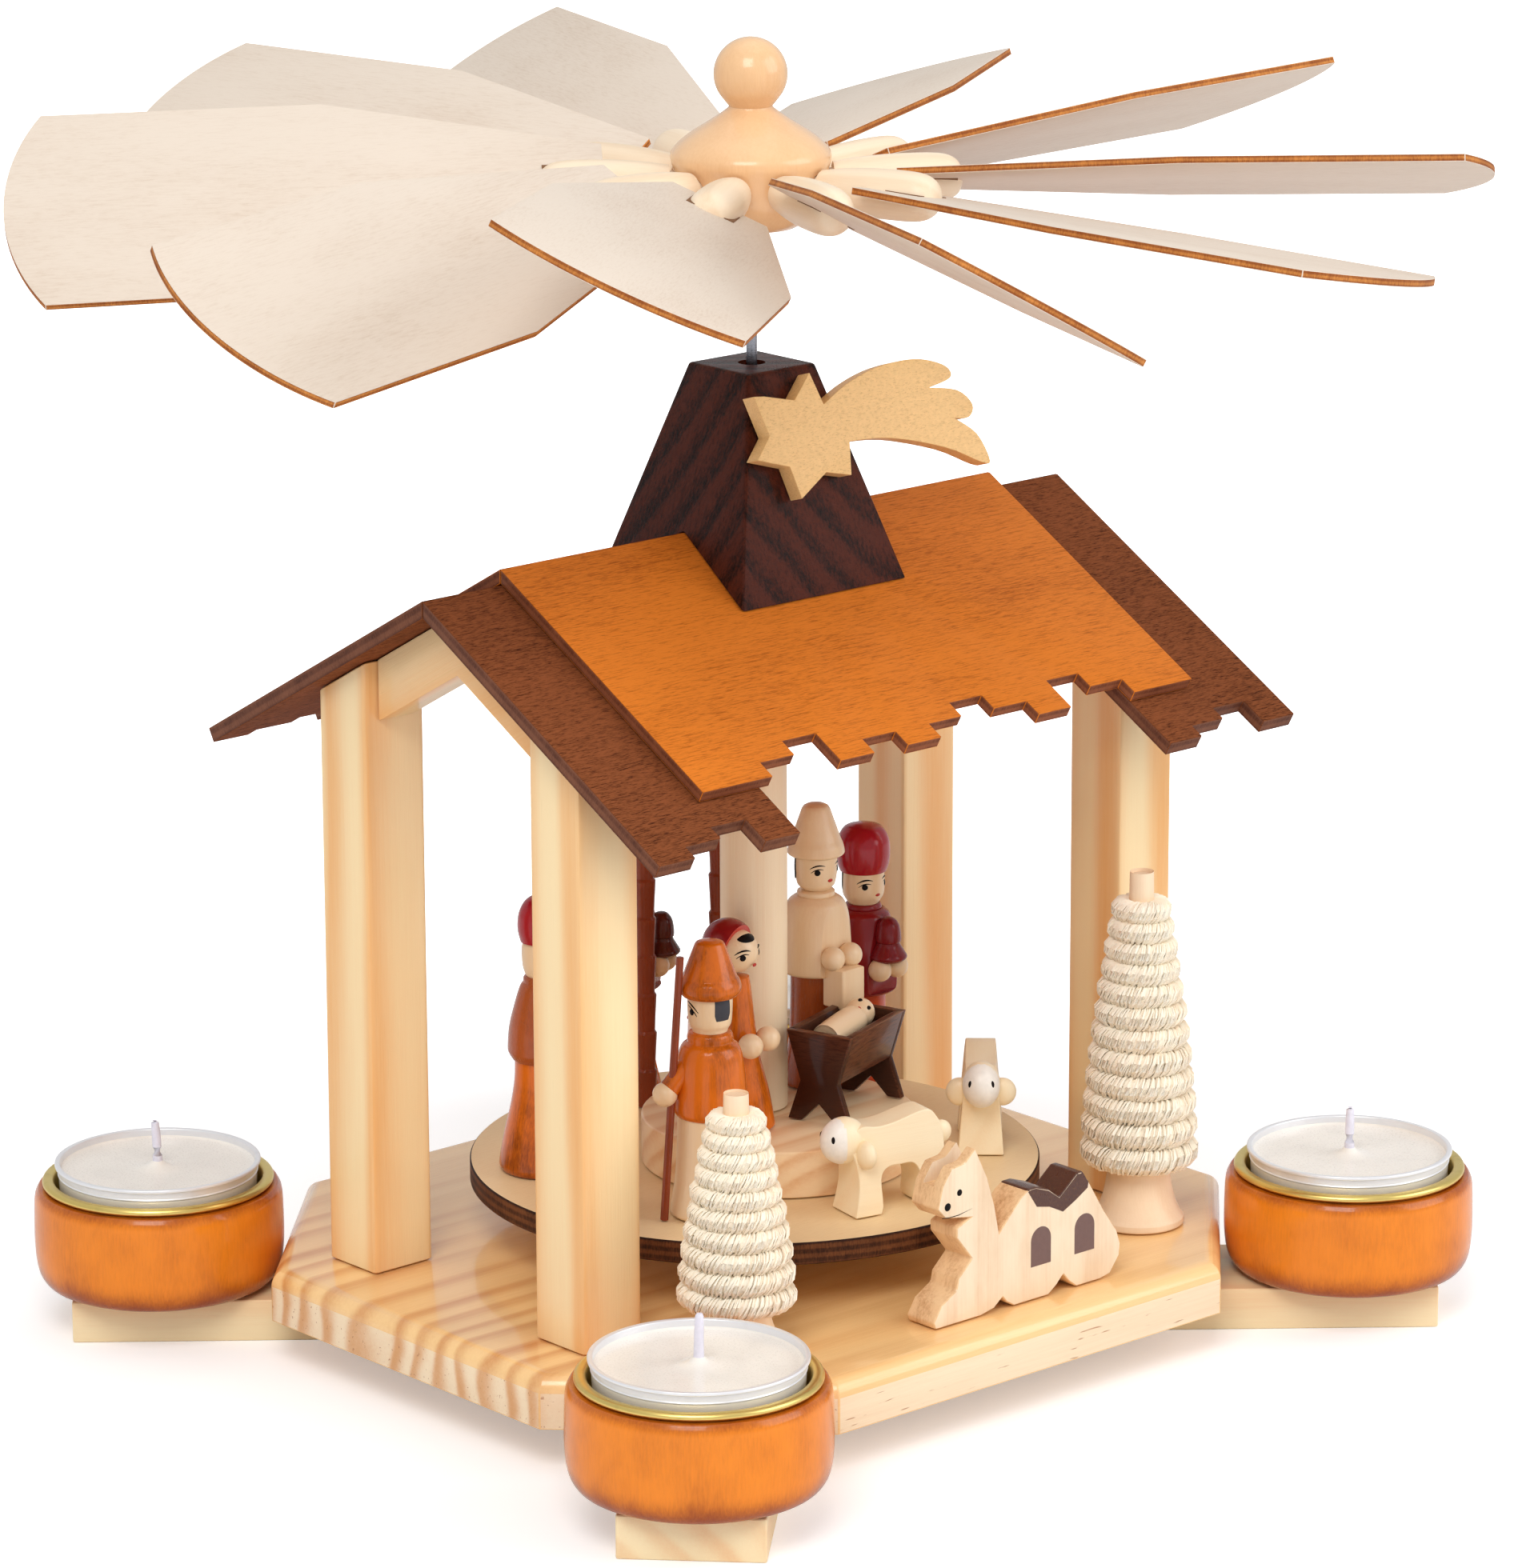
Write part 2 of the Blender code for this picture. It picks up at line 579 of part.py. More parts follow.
def build_posts():
    """Four square posts, their tops cut to the slope of the roof."""
    half = POST_SIDE / 2
    for side, sx in (("left", -1), ("right", 1)):
        for end, sy in (("front", -1), ("back", 1)):
            inner, outer = sy * (POST_Y - half), sy * (POST_Y + half)
            outline = [(inner, STANDING_LEVEL), (outer, STANDING_LEVEL)]
            outline += [(outer, under_roof(outer, GLUE_GAP)), (inner, under_roof(inner, GLUE_GAP))]
            bm = upright(outline, sx * POST_X - half, sx * POST_X + half)
            corners = [e for e in bm.edges if abs((e.verts[0].co - e.verts[1].co).z) > POST_HEIGHT / 2]
            bmesh.ops.bevel(bm, geom=corners, offset=POST_EASE, segments=1, profile=ROUND_EDGE_SHARE, affect="EDGES")
            add_object(f"post_{side}_{end}", bm, "pine")


def build_gable_frames():
    """A pair of rafters in one piece under each gable, between the two posts."""
    reach = POST_Y - POST_SIDE / 2 - GLUE_GAP
    for side, sx in (("left", -1), ("right", 1)):
        upper = [(y, under_roof(y, GLUE_GAP)) for y in (-reach, 0, reach)]
        lower = [(y, under_roof(y, GLUE_GAP + FRAME_DEPTH)) for y in (reach, 0, -reach)]
        middle = sx * POST_X
        bm = upright(upper + lower, middle - FRAME_THICK / 2, middle + FRAME_THICK / 2)
        add_object(f"gable_frame_{side}", bm, "pine")


def eave_outline(start, end, run, step, levels):
    """A roof board seen square on: (x, distance down the slope), with a stepped lower edge."""
    points = [(start, 0), (start, run - step * levels[0])]
    for index, level in enumerate(levels[1:], 1):
        x = start + TOOTH * index
        if x >= end - TOOTH / 2:
            break
        if level != levels[index - 1]:
            points += [(x, run - step * levels[index - 1]), (x, run - step * level)]
    points += [(end, points[-1][1]), (end, 0)]
    return points


def roof_board(name, outline, ridge, thick, side, finish_name):
    """Lay a board on one slope: its top face meets the ridge height, and its ridge edge is cut plumb."""
    bm = extrusion(outline, -thick, 0)
    cosine, sine = 1 / ROOF_STRETCH, ROOF_SLOPE / ROOF_STRETCH
    plumb = GLUE_GAP / 2
    for vert in bm.verts:
        x, run, depth = vert.co
        if run == 0:
            vert.co = (x, side * plumb, ridge - ROOF_SLOPE * plumb + depth * ROOF_STRETCH)
        else:
            vert.co = (x, side * (run * cosine + depth * sine), ridge - run * sine + depth * cosine)
    return add_object(name, bm, finish_name)


def build_roof():
    """Two orange boards over the four dark ones, with a hole for the spindle at the ridge."""
    dark_width = TOOTH * len(DARK_LEVELS)
    for end, side in (("front", -1), ("back", 1)):
        for hand, start in (("left", -DARK_HALF_LENGTH), ("right", DARK_HALF_LENGTH - dark_width)):
            outline = eave_outline(start, start + dark_width, DARK_RUN, DARK_STEP, DARK_LEVELS)
            roof_board(f"roof_dark_{end}_{hand}", outline, DARK_RIDGE, DARK_THICK, side, "walnut_stain")
        half = ORANGE_HALF_LENGTH
        outline = eave_outline(-half, half, ORANGE_RUN, ORANGE_STEP, ORANGE_LEVELS)
        board = roof_board(f"roof_orange_{end}", outline, ORANGE_RIDGE, ORANGE_THICK, side, "orange_stain")
        low, high = (0, 0, COLUMN_LEVEL), (0, 0, CHIMNEY_LEVEL)
        hole = rod(low, high, CHIMNEY_BORE, CHIMNEY_BORE, CHIMNEY_BORE_SIDES)
        combine(board, helper(f"cut_ridge_hole_{end}", hole), "DIFFERENCE")


def build_chimney():
    """A four-sided spire that sits astride the ridge, bored for the spindle."""
    foot_level = ORANGE_RIDGE - ROOF_SLOPE * CHIMNEY_FOOT
    bm = bmesh.new()
    rings = []
    for half, level in ((CHIMNEY_FOOT, foot_level), (CHIMNEY_TOP, CHIMNEY_LEVEL)):
        corners = ((-half, -half), (half, -half), (half, half), (-half, half))
        rings.append([bm.verts.new((x, y, level)) for x, y in corners])
    for i in range(4):
        bm.faces.new((rings[0][i - 1], rings[0][i], rings[1][i], rings[1][i - 1]))
    bm.faces.new(reversed(rings[0]))
    bm.faces.new(rings[1])
    chimney = add_object("chimney", bm, "dark_stain")
    ease(chimney, CHIMNEY_EASE)
    reach = CHIMNEY_FOOT + OVERRUN
    saddle_ridge = ORANGE_RIDGE + GLUE_GAP * ROOF_STRETCH
    eave = saddle_ridge - ROOF_SLOPE * reach
    saddle = [(-reach, eave), (0, saddle_ridge), (reach, eave)]
    saddle += [(reach, foot_level - reach), (-reach, foot_level - reach)]
    combine(chimney, helper("cut_saddle", upright(saddle, -reach, reach)), "DIFFERENCE")
    low, high = (0, 0, foot_level - OVERRUN), (0, 0, CHIMNEY_LEVEL + OVERRUN)
    bore = rod(low, high, CHIMNEY_BORE, CHIMNEY_BORE, CHIMNEY_BORE_SIDES)
    combine(chimney, helper("cut_spindle_bore", bore), "DIFFERENCE")


def build_comet():
    """The gilt comet, flat on the chimney's front face."""
    outline = [(x * COMET_LENGTH + COMET_SIDE, y * COMET_LENGTH) for x, y in COMET_OUTLINE_SHARES]
    bm = extrusion(outline, 0, COMET_THICK)
    drop = CHIMNEY_LEVEL - ORANGE_RIDGE + ROOF_SLOPE * CHIMNEY_FOOT
    lean = math.atan2(CHIMNEY_FOOT - CHIMNEY_TOP, drop)
    face = Vector((0, -math.cos(lean), math.sin(lean)))
    middle = Vector((0, -CHIMNEY_TOP - COMET_DROP * math.tan(lean), CHIMNEY_LEVEL - COMET_DROP))
    comet = add_object("comet", bm, "gold_paint")
    comet.location = middle + face * GLUE_GAP
    comet.rotation_euler = (math.pi / 2 - lean, 0, 0)


def candle_places():
    """The name, centre and outward angle of each of the four candles."""
    angles = {"right": SIDE_SLAT_ANGLE, "back": LONG_SLAT_ANGLE}
    angles["left"] = SIDE_SLAT_ANGLE + math.pi
    angles["front"] = LONG_SLAT_ANGLE + math.pi
    return [(name, around(CANDLE_RADIUS, angle)) for name, angle in angles.items()]


def cup_profile():
    """The turned cup: rounded outside, straight hollow, flat floor."""
    outer = on_axis(CUP_PROFILE_SHARES, CUP_RADIUS, CUP_HEIGHT)
    lip = [(CUP_RADIUS * CUP_LIP_SHARE, CUP_HEIGHT), (CUP_HOLLOW, CUP_HEIGHT)]
    return [(0, 0)] + outer + lip + [(CUP_HOLLOW, CUP_FLOOR), (0, CUP_FLOOR)]


def liner_profile():
    """The pressed brass liner: a thin tray with a rolled bead that lies on the cup's lip."""
    base = CUP_FLOOR + GLUE_GAP
    outer = CUP_HOLLOW - GLUE_GAP
    inner = outer - LINER_WALL
    seat = CUP_HEIGHT + GLUE_GAP
    bead = CUP_HOLLOW + LINER_BEAD
    rim = seat + LINER_BEAD
    profile = [(0, base), (outer, base), (outer, seat), (bead, seat), (bead, rim - LINER_BEAD / 2)]
    profile += [(bead - LINER_BEAD / 2, rim), (inner, rim)]
    return profile + [(inner, base + LINER_WALL), (0, base + LINER_WALL)]


def light_profile():
    """The tea light: a metal can with a lip, filled with wax, and a wick on its foot."""
    base = CUP_FLOOR + GLUE_GAP + LINER_WALL + GLUE_GAP
    rim = base + LIGHT_HEIGHT
    wax = rim - WAX_DROP
    lip = LIGHT_RADIUS + LIGHT_FLANGE
    profile = [(0, base), (LIGHT_RADIUS - LIGHT_TAPER, base), (LIGHT_RADIUS, rim - LIGHT_FLANGE_THICK)]
    profile += [(lip, rim - LIGHT_FLANGE_THICK), (lip, rim), (LIGHT_RADIUS - CAN_WALL, rim)]
    profile += [(LIGHT_RADIUS - CAN_WALL, wax), (WICK_FOOT_RADIUS, wax), (WICK_RADIUS, wax + WAX_DROP / 2)]
    return profile + [(WICK_RADIUS, wax + WICK_HEIGHT), (0, wax + WICK_HEIGHT)]


def build_candles():
    """A cup, a liner and a tea light at each end of each slat."""
    stand = SLAT_THICK + GLUE_GAP
    parts = (
        ("cup", cup_profile, "cup_stain"),
        ("cup_liner", liner_profile, "brass"),
        ("tea_light", light_profile, "light"),
    )
    for name, place in candle_places():
        pivot = add_pivot(f"candle_axis_{name}", (*place, stand))
        for part, profile, finish_name in parts:
            bm = turned(profile(), CUP_SIDES)
            add_object(f"{part}_{name}", bm, finish_name, pivot, smooth=True)


def bored(name, bm, low, high, finish_name, parent):
    """A piece with a hole along the spindle for it to sit on."""
    piece = add_object(name, bm, finish_name, parent, smooth=True)
    radius = SPINDLE_RADIUS + RUNNING_GAP
    hole = rod((0, 0, low - OVERRUN), (0, 0, high + OVERRUN), radius, radius, SPINDLE_SIDES)
    combine(piece, helper(f"cut_{name}", hole, parent), "DIFFERENCE")
    return piece


def build_turntable(spin):
    """The disc, the plinth on it and the column that stands on the plinth."""
    disc = [(0, DISC_UNDER), (DISC_RADIUS, DISC_UNDER), (DISC_RADIUS, DISC_LEVEL), (0, DISC_LEVEL)]
    bored("turntable", turned(disc, DISC_SIDES), DISC_UNDER, DISC_LEVEL, "birch_ply", spin)
    plinth = [(0, PLINTH_UNDER), (PLINTH_RADIUS, PLINTH_UNDER)]
    plinth += [(PLINTH_RADIUS, PLINTH_LEVEL), (0, PLINTH_LEVEL)]
    bm = turned(plinth, PLINTH_SIDES)
    bmesh.ops.translate(bm, vec=(*PLINTH_OFFSET, 0), verts=bm.verts)
    bored("plinth", bm, PLINTH_UNDER, PLINTH_LEVEL, "pale_wood", spin)
    column = [(0, COLUMN_UNDER), (COLUMN_RADIUS, COLUMN_UNDER)]
    column += [(COLUMN_RADIUS, COLUMN_LEVEL - COLUMN_EASE)]
    column += [(COLUMN_RADIUS - COLUMN_EASE, COLUMN_LEVEL), (0, COLUMN_LEVEL)]
    bored("column", turned(column, COLUMN_SIDES), COLUMN_UNDER, COLUMN_LEVEL, "pale_wood", spin)


def build_spindle(spin):
    """The steel spindle, pointed below, and the pan that it turns in."""
    tip = PAN_UNDER + PAN_FLOOR + RUNNING_GAP
    top = HUB_UNDER + HUB_SEAT - GLUE_GAP
    profile = [(0, tip), (SPINDLE_RADIUS, tip + SPINDLE_POINT), (SPINDLE_RADIUS, top), (0, top)]
    add_object("spindle", turned(profile, SPINDLE_SIDES), "steel", spin, smooth=True)
    pan = [(0, 0), (PAN_RADIUS, 0), (PAN_RADIUS, PAN_HEIGHT)]
    pan += [(PAN_RADIUS - PAN_RIM, PAN_HEIGHT), (0, PAN_FLOOR)]
    bearing = add_object("bearing_pan", turned(pan, PAN_SIDES), "brass", smooth=True)
    bearing.location.z = PAN_UNDER


def build_hub(spin):
    """The turned hub with its finial ball, bored below for the spindle and round its rim for the pegs."""
    profile = [(0, 0)] + on_axis(HUB_PROFILE_SHARES, HUB_RADIUS, HUB_HEIGHT)
    neck = math.asin(profile[-1][0] / BALL_RADIUS)
    for i in range(1, BALL_RINGS):
        angle = neck + (math.pi - neck) * i / BALL_RINGS
        profile.append((BALL_RADIUS * math.sin(angle), BALL_LIFT - BALL_RADIUS * math.cos(angle)))
    profile.append((0, BALL_LIFT + BALL_RADIUS))
    hub = add_object("hub", turned(profile, HUB_SIDES), "beech", spin, smooth=True)
    hub.location.z = HUB_UNDER
    radius = SPINDLE_RADIUS + RUNNING_GAP
    seat = rod((0, 0, -OVERRUN), (0, 0, HUB_SEAT), radius, radius, SPINDLE_SIDES)
    combine(hub, helper("cut_hub_seat", seat, hub), "DIFFERENCE")
    for k in range(BLADES):
        angle = FIRST_BLADE + math.tau * k / BLADES
        start = around(HUB_RADIUS - TENON_LENGTH - RUNNING_GAP, angle)
        end = around(HUB_RADIUS + OVERRUN, angle)
        bore = TENON_RADIUS + RUNNING_GAP
        socket = rod((*start, PEG_LEVEL), (*end, PEG_LEVEL), bore, bore, PEG_SIDES)
        combine(hub, helper(f"cut_peg_socket_{k + 1:02d}", socket, hub), "DIFFERENCE")


def blade_outline():
    """One blade from above, its length along X: narrow inner end, kink, corners and an arched tip."""
    rise = BLADE_TIP - BLADE_CORNER
    half = BLADE_CORNER_WIDTH / 2
    radius = (half * half + rise * rise) / (2 * rise)
    spread = math.asin(half / radius)
    tip = []
    for i in range(TIP_STEPS + 1):
        angle = -spread + 2 * spread * i / TIP_STEPS
        tip.append((BLADE_TIP - radius + radius * math.cos(angle), radius * math.sin(angle)))
    near = [(BLADE_START, -BLADE_START_WIDTH / 2), (BLADE_KINK, -BLADE_KINK_WIDTH / 2)]
    far = [(BLADE_KINK, BLADE_KINK_WIDTH / 2), (BLADE_START, BLADE_START_WIDTH / 2)]
    return near + tip + far


def peg_profile():
    """The peg along its axis: tenon, neck, swelling and rounded end."""
    shoulder = HUB_RADIUS + RUNNING_GAP
    tenon = HUB_RADIUS - TENON_LENGTH
    length = PEG_END - shoulder
    swell = PEG_RADIUS - PEG_NECK
    profile = [(0, tenon), (TENON_RADIUS, tenon), (TENON_RADIUS, shoulder)]
    for along, out in PEG_PROFILE_SHARES[:-1]:
        profile.append((PEG_NECK + swell * out, shoulder + length * along))
    along, out = PEG_PROFILE_SHARES[-1]
    profile.append((PEG_RADIUS * out, shoulder + length * along))
    return profile + [(0, PEG_END)]


def build_blades(spin):
    """Ten blades, each in its peg. A peg turns in the hub, so each stands at the pitch it was set to."""
    along_x = Matrix.Rotation(math.pi / 2, 4, "Y")
    for k in range(BLADES):
        angle = FIRST_BLADE + math.tau * k / BLADES
        pivot = add_pivot(f"blade_axis_{k + 1:02d}", (0, 0, HUB_UNDER + PEG_LEVEL), spin, angle)
        peg = turned(peg_profile(), PEG_SIDES)
        bmesh.ops.transform(peg, matrix=along_x, verts=peg.verts)
        blade = add_object(f"blade_{k + 1:02d}", peg, "birch_ply", pivot)
        blade.rotation_euler.x = -math.radians(PITCH_DEGREES[k])
        board = extrusion(blade_outline(), -BLADE_THICK / 2, BLADE_THICK / 2)
        set_by_hand = Matrix.Rotation(math.radians(SWING_DEGREES[k]), 4, "Z")
        set_by_hand = Matrix.Rotation(-math.radians(DROOP_DEGREES[k]), 4, "Y") @ set_by_hand
        held_at = Matrix.Translation((BLADE_HOLD, 0, 0))
        bmesh.ops.transform(board, matrix=held_at @ set_by_hand @ held_at.inverted(), verts=board.verts)
        combine(blade, helper(f"add_board_{k + 1:02d}", board, blade), "UNION")


def tree_profile(height, radius, rings):
    """A tree from the foot up: flared foot, rings of curls that shrink, and the stub of the stem."""
    foot = height * TREE_FOOT_SHARE
    crown = height * TREE_STEM_SHARE
    profile = [(0, 0)] + on_axis(TREE_FOOT_SHARES, TREE_FOOT_RADIUS, foot)
    shrink = (TREE_TOP_SHARE + 1) / 2
    sizes = [1 - (1 - shrink) * i / (rings - 1) for i in range(rings)]
    level = foot
    for i, size in enumerate(sizes):
        half = (crown - foot) * size / sum(sizes) / 2
        level += half
        reach = radius * (1 - (1 - TREE_TOP_SHARE) * (i / (rings - 1)) ** TREE_TAPER_POWER)
        for turn in (-TREE_CURL, TREE_CURL):
            profile.append((reach - half + half * math.cos(turn), level + half * math.sin(turn)))
        level += half
    return profile + [(STEM_RADIUS, crown), (STEM_RADIUS, height), (0, height)]


def build_trees():
    """The two shaved trees on the board."""
    for name, place in TREE_PLACES.items():
        bm = turned(tree_profile(TREE_HEIGHTS[name], TREE_RADII[name], TREE_RINGS[name]), TREE_SIDES)
        tree = add_object(f"tree_{name}", bm, "pale_wood", smooth=True)
        tree.location = (*place, STANDING_LEVEL)


def side_cut(outline, thick):
    """A sawn piece: an (x, z) outline through a thickness along Y."""
    bm = extrusion(outline, 0, thick)
    bmesh.ops.rotate(bm, cent=(0, 0, 0), matrix=Matrix.Rotation(math.pi / 2, 3, "X"), verts=bm.verts)
    bmesh.ops.translate(bm, vec=(0, thick, 0), verts=bm.verts)
    return bm


def build_camel():
    """The kneeling camel at the front edge, with a saw cut between its ears."""
    outline = [(x * CAMEL_LENGTH, z * CAMEL_HEIGHT) for x, z in CAMEL_OUTLINE_SHARES]
    camel = add_object("camel", side_cut(outline, CAMEL_THICK), "pale_wood")
    camel.location = (*CAMEL_PLACE, STANDING_LEVEL)
    low = Vector((0, CAMEL_EAR_THICK, CAMEL_HEIGHT - CAMEL_EAR_HEIGHT))
    high = Vector((CAMEL_LENGTH / 2, CAMEL_THICK - CAMEL_EAR_THICK, CAMEL_HEIGHT + OVERRUN))
    combine(camel, helper("cut_between_ears", block(low, high), camel), "DIFFERENCE")


def build_sheep(spin):
    """Two sheep on the turntable."""
    outline = [(x * SHEEP_LENGTH, z * SHEEP_HEIGHT) for x, z in SHEEP_OUTLINE_SHARES]
    for name, place in SHEEP_PLACES.items():
        bm = side_cut(outline, SHEEP_THICK)
        for vert in bm.verts:
            narrowing = 1 - (1 - SHEEP_BACK_SHARE) * vert.co.z / SHEEP_HEIGHT
            vert.co.y = (vert.co.y - SHEEP_THICK / 2) * narrowing
        sheep = add_object(f"sheep_{name}", bm, "sheep_wood", spin)
        sheep.location = (*place, LEVELS["disc"])
        sheep.rotation_euler.z = SHEEP_TURNS[name]
        unit = Vector((SHEEP_LENGTH, SHEEP_THICK, SHEEP_HEIGHT))
        for part, (centre, size) in SHEEP_LUMP_SHARES.items():
            lump = pebble(unit * Vector(centre), unit * Vector(size))
            combine(sheep, helper(f"add_{part}_{name}", lump, sheep), "UNION")


def palm_profile():
    """The ringed trunk, each ring a short cone that opens upwards, and a ball of a head."""
    profile = [(0, 0)]
    pitch = PALM_HEIGHT / PALM_RINGS
    for i in range(PALM_RINGS):
        profile.append((PALM_RADIUS * PALM_WAIST_SHARE, pitch * i))
        profile.append((PALM_RADIUS, pitch * (i + TREE_STEM_SHARE)))
    return profile + [(PALM_HEAD / 2, PALM_HEIGHT), (0, PALM_HEIGHT)]


def frond(angle):
    """One flat leaf from the head of the trunk, drooping to a point."""
    half = FROND_WIDTH / 2
    bend = FROND_REACH / 2
    outline = [(0, -half / 2), (bend, -half), (FROND_REACH, 0), (bend, half), (0, half / 2)]
    bm = extrusion(outline, -FROND_THICK / 2, FROND_THICK / 2)
    for vert in bm.verts:
        vert.co.z += PALM_HEIGHT - FROND_FALL * (vert.co.x / FROND_REACH) ** 2
    bmesh.ops.rotate(bm, cent=(0, 0, 0), matrix=Matrix.Rotation(angle, 3, "Z"), verts=bm.verts)
    return bm


def build_palms(spin):
    """Two palms behind the column."""
    for index, place in enumerate(PALM_PLACES, 1):
        trunk = turned(palm_profile(), PALM_SIDES)
        palm = add_object(f"palm_{index}", trunk, "walnut_stain", spin, smooth=True)
        palm.location = (*place, LEVELS["disc"])
        head = ball((0, 0, PALM_HEIGHT), PALM_HEAD, PALM_SIDES, PALM_HEAD_RINGS)
        combine(palm, helper(f"add_palm_head_{index}", head, palm), "UNION")
        for k in range(PALM_FRONDS):
            leaf = helper(f"add_frond_{index}_{k + 1}", frond(math.tau * k / PALM_FRONDS), palm)
            combine(palm, leaf, "UNION")


def crossed_end(start):
    """One end of the manger: a board sawn to two crossed legs, across X."""
    top, waist, feet = MANGER_TOP / 2, MANGER_WAIST / 2, MANGER_FEET / 2
    middle, crotch = MANGER_HEIGHT * MANGER_WAIST_SHARE, MANGER_HEIGHT * MANGER_CROTCH_SHARE
    right = [(feet - MANGER_FOOT, 0), (feet, 0), (waist, middle), (top, MANGER_HEIGHT)]
    left = [(-y, z) for y, z in reversed(right)]
    return upright(right + left + [(0, crotch)], start, start + MANGER_BOARD)


def build_manger(spin):
    """The manger on crossed legs with the child in its trough."""
    half = MANGER_LENGTH / 2
    manger = add_object("manger", crossed_end(-half), "dark_stain", spin)
    manger.location = (*MANGER_PLACE, LEVELS["plinth"])
    manger.rotation_euler.z = MANGER_TURN
    end = crossed_end(half - MANGER_BOARD)
    combine(manger, helper("add_manger_end", end, manger), "UNION")
    top, waist, keel = MANGER_TOP / 2, MANGER_WAIST / 2, MANGER_HEIGHT * MANGER_WAIST_SHARE
    floor = MANGER_HEIGHT * MANGER_FLOOR_SHARE
    spread = (top - waist) * (floor - keel) / (MANGER_HEIGHT - keel)
    inner_top, inner_waist = top - MANGER_BOARD, waist + spread - MANGER_BOARD
    trough = [(-waist, keel), (waist, keel), (top, MANGER_HEIGHT), (inner_top, MANGER_HEIGHT)]
    trough += [(inner_waist, floor), (-inner_waist, floor)]
    trough += [(-inner_top, MANGER_HEIGHT), (-top, MANGER_HEIGHT)]
    inset = half - MANGER_BOARD / 2
    combine(manger, helper("add_trough", upright(trough, -inset, inset), manger), "UNION")
    lie = floor + CHILD_RADIUS - CHILD_SINK
    feet, neck = (-CHILD_FOOT_END, 0, lie), (CHILD_HEAD_END, 0, lie + CHILD_RISE)
    child = rod(feet, neck, CHILD_RADIUS, CHILD_RADIUS, CHILD_SIDES)
    combine(manger, helper("add_child", child, manger), "UNION")
    head = ball((CHILD_HEAD_END, 0, lie + 2 * CHILD_RISE), CHILD_HEAD)
    combine(manger, helper("add_child_head", head, manger), "UNION")


def figure_reach(spec):
    """How far from a figure's axis its hands lie: on the flat of a robe, or on the side of a cloak."""
    if spec["carries"] == "hood":
        return spec["radius"] * CLOAK_SHARES[4][0] + HAND_RADIUS - HAND_SINK
    return spec["radius"] * FLAT_SHARE + HAND_RADIUS - HAND_SINK


def flatten_front(figure, name, spec):
    """The flat sawn on the front of a robe, to which the hands are glued."""
    radius, height = spec["radius"], spec["height"]
    low = Vector((radius * FLAT_SHARE, -radius, height * FLAT_LOW_SHARE))
    high = Vector((radius + OVERRUN, radius, height * FLAT_HIGH_SHARE))
    bm = block(low, high)
    bmesh.ops.rotate(bm, cent=(0, 0, 0), matrix=Matrix.Rotation(spec["facing"], 3, "Z"), verts=bm.verts)
    combine(figure, helper(f"cut_flat_{name}", bm, figure), "DIFFERENCE")


def add_hands(figure, name, spec):
    """Two balls for hands, side by side in front."""
    for side in (-1, 1):
        place = around(figure_reach(spec), spec["facing"] + side * HAND_SPREAD)
        hand = ball((*place, spec["height"] * spec["hand_share"]), HAND_RADIUS)
        combine(figure, helper(f"add_hand_{name}_{side + 2}", hand, figure), "UNION")


def add_gift(figure, spec):
    """The square gift that hangs under the hands."""
    top = spec["height"] * spec["hand_share"]
    start = figure_reach(spec) - GIFT_SIDE / 2
    bm = block((start, -GIFT_SIDE / 2, top - GIFT_HEIGHT), (start + GIFT_SIDE, GIFT_SIDE / 2, top))
    bmesh.ops.rotate(bm, cent=(0, 0, 0), matrix=Matrix.Rotation(spec["facing"], 3, "Z"), verts=bm.verts)
    combine(figure, helper("add_gift", bm, figure), "UNION")


def add_vessel(figure, name, spec):
    """The turned vessel that stands on the hands."""
    base = spec["height"] * spec["hand_share"] + HAND_RADIUS - HAND_SINK
    profile = [(0, base)] + on_axis(VESSEL_SHARES, VESSEL_RADIUS, VESSEL_HEIGHT, base)
    bm = turned(profile + [(0, base + VESSEL_HEIGHT)], VESSEL_SIDES)
    bmesh.ops.translate(bm, vec=(*around(figure_reach(spec), spec["facing"]), 0), verts=bm.verts)
    combine(figure, helper(f"add_vessel_{name}", bm, figure), "UNION")


def add_hood(figure, spec):
    """The hood, a ball behind the head that leaves the face free."""
    level = spec["height"] * HEAD_LEVEL_SHARE + HOOD_RISE
    hood = ball((*around(-HOOD_BACK, spec["facing"]), level), HOOD_RADIUS, FIGURE_SIDES, HOOD_RINGS)
    combine(figure, helper("add_hood", hood, figure), "UNION")


def add_staff(figure, spec):
    """The staff and the sleeve and hand that hold it."""
    angle = spec["facing"] + STAFF_TURN
    level = spec["height"] * spec["hand_share"]
    reach = spec["radius"] + HAND_RADIUS
    hand = Vector((*around(reach, angle), level))
    shoulder = Vector((*around(spec["radius"] / 2, angle), level + SLEEVE_DROP))
    combine(figure, helper("add_sleeve", rod(shoulder, hand, SLEEVE_RADIUS, CUFF_RADIUS), figure), "UNION")
    combine(figure, helper("add_staff_hand", ball(hand, HAND_RADIUS), figure), "UNION")
    foot = Vector((*around(reach + STAFF_LEAN / 2, angle), 0))
    top = Vector((*around(reach - STAFF_LEAN / 2, angle), STAFF_LENGTH))
    combine(figure, helper("add_staff", rod(foot, top, STAFF_RADIUS, STAFF_RADIUS), figure), "UNION")


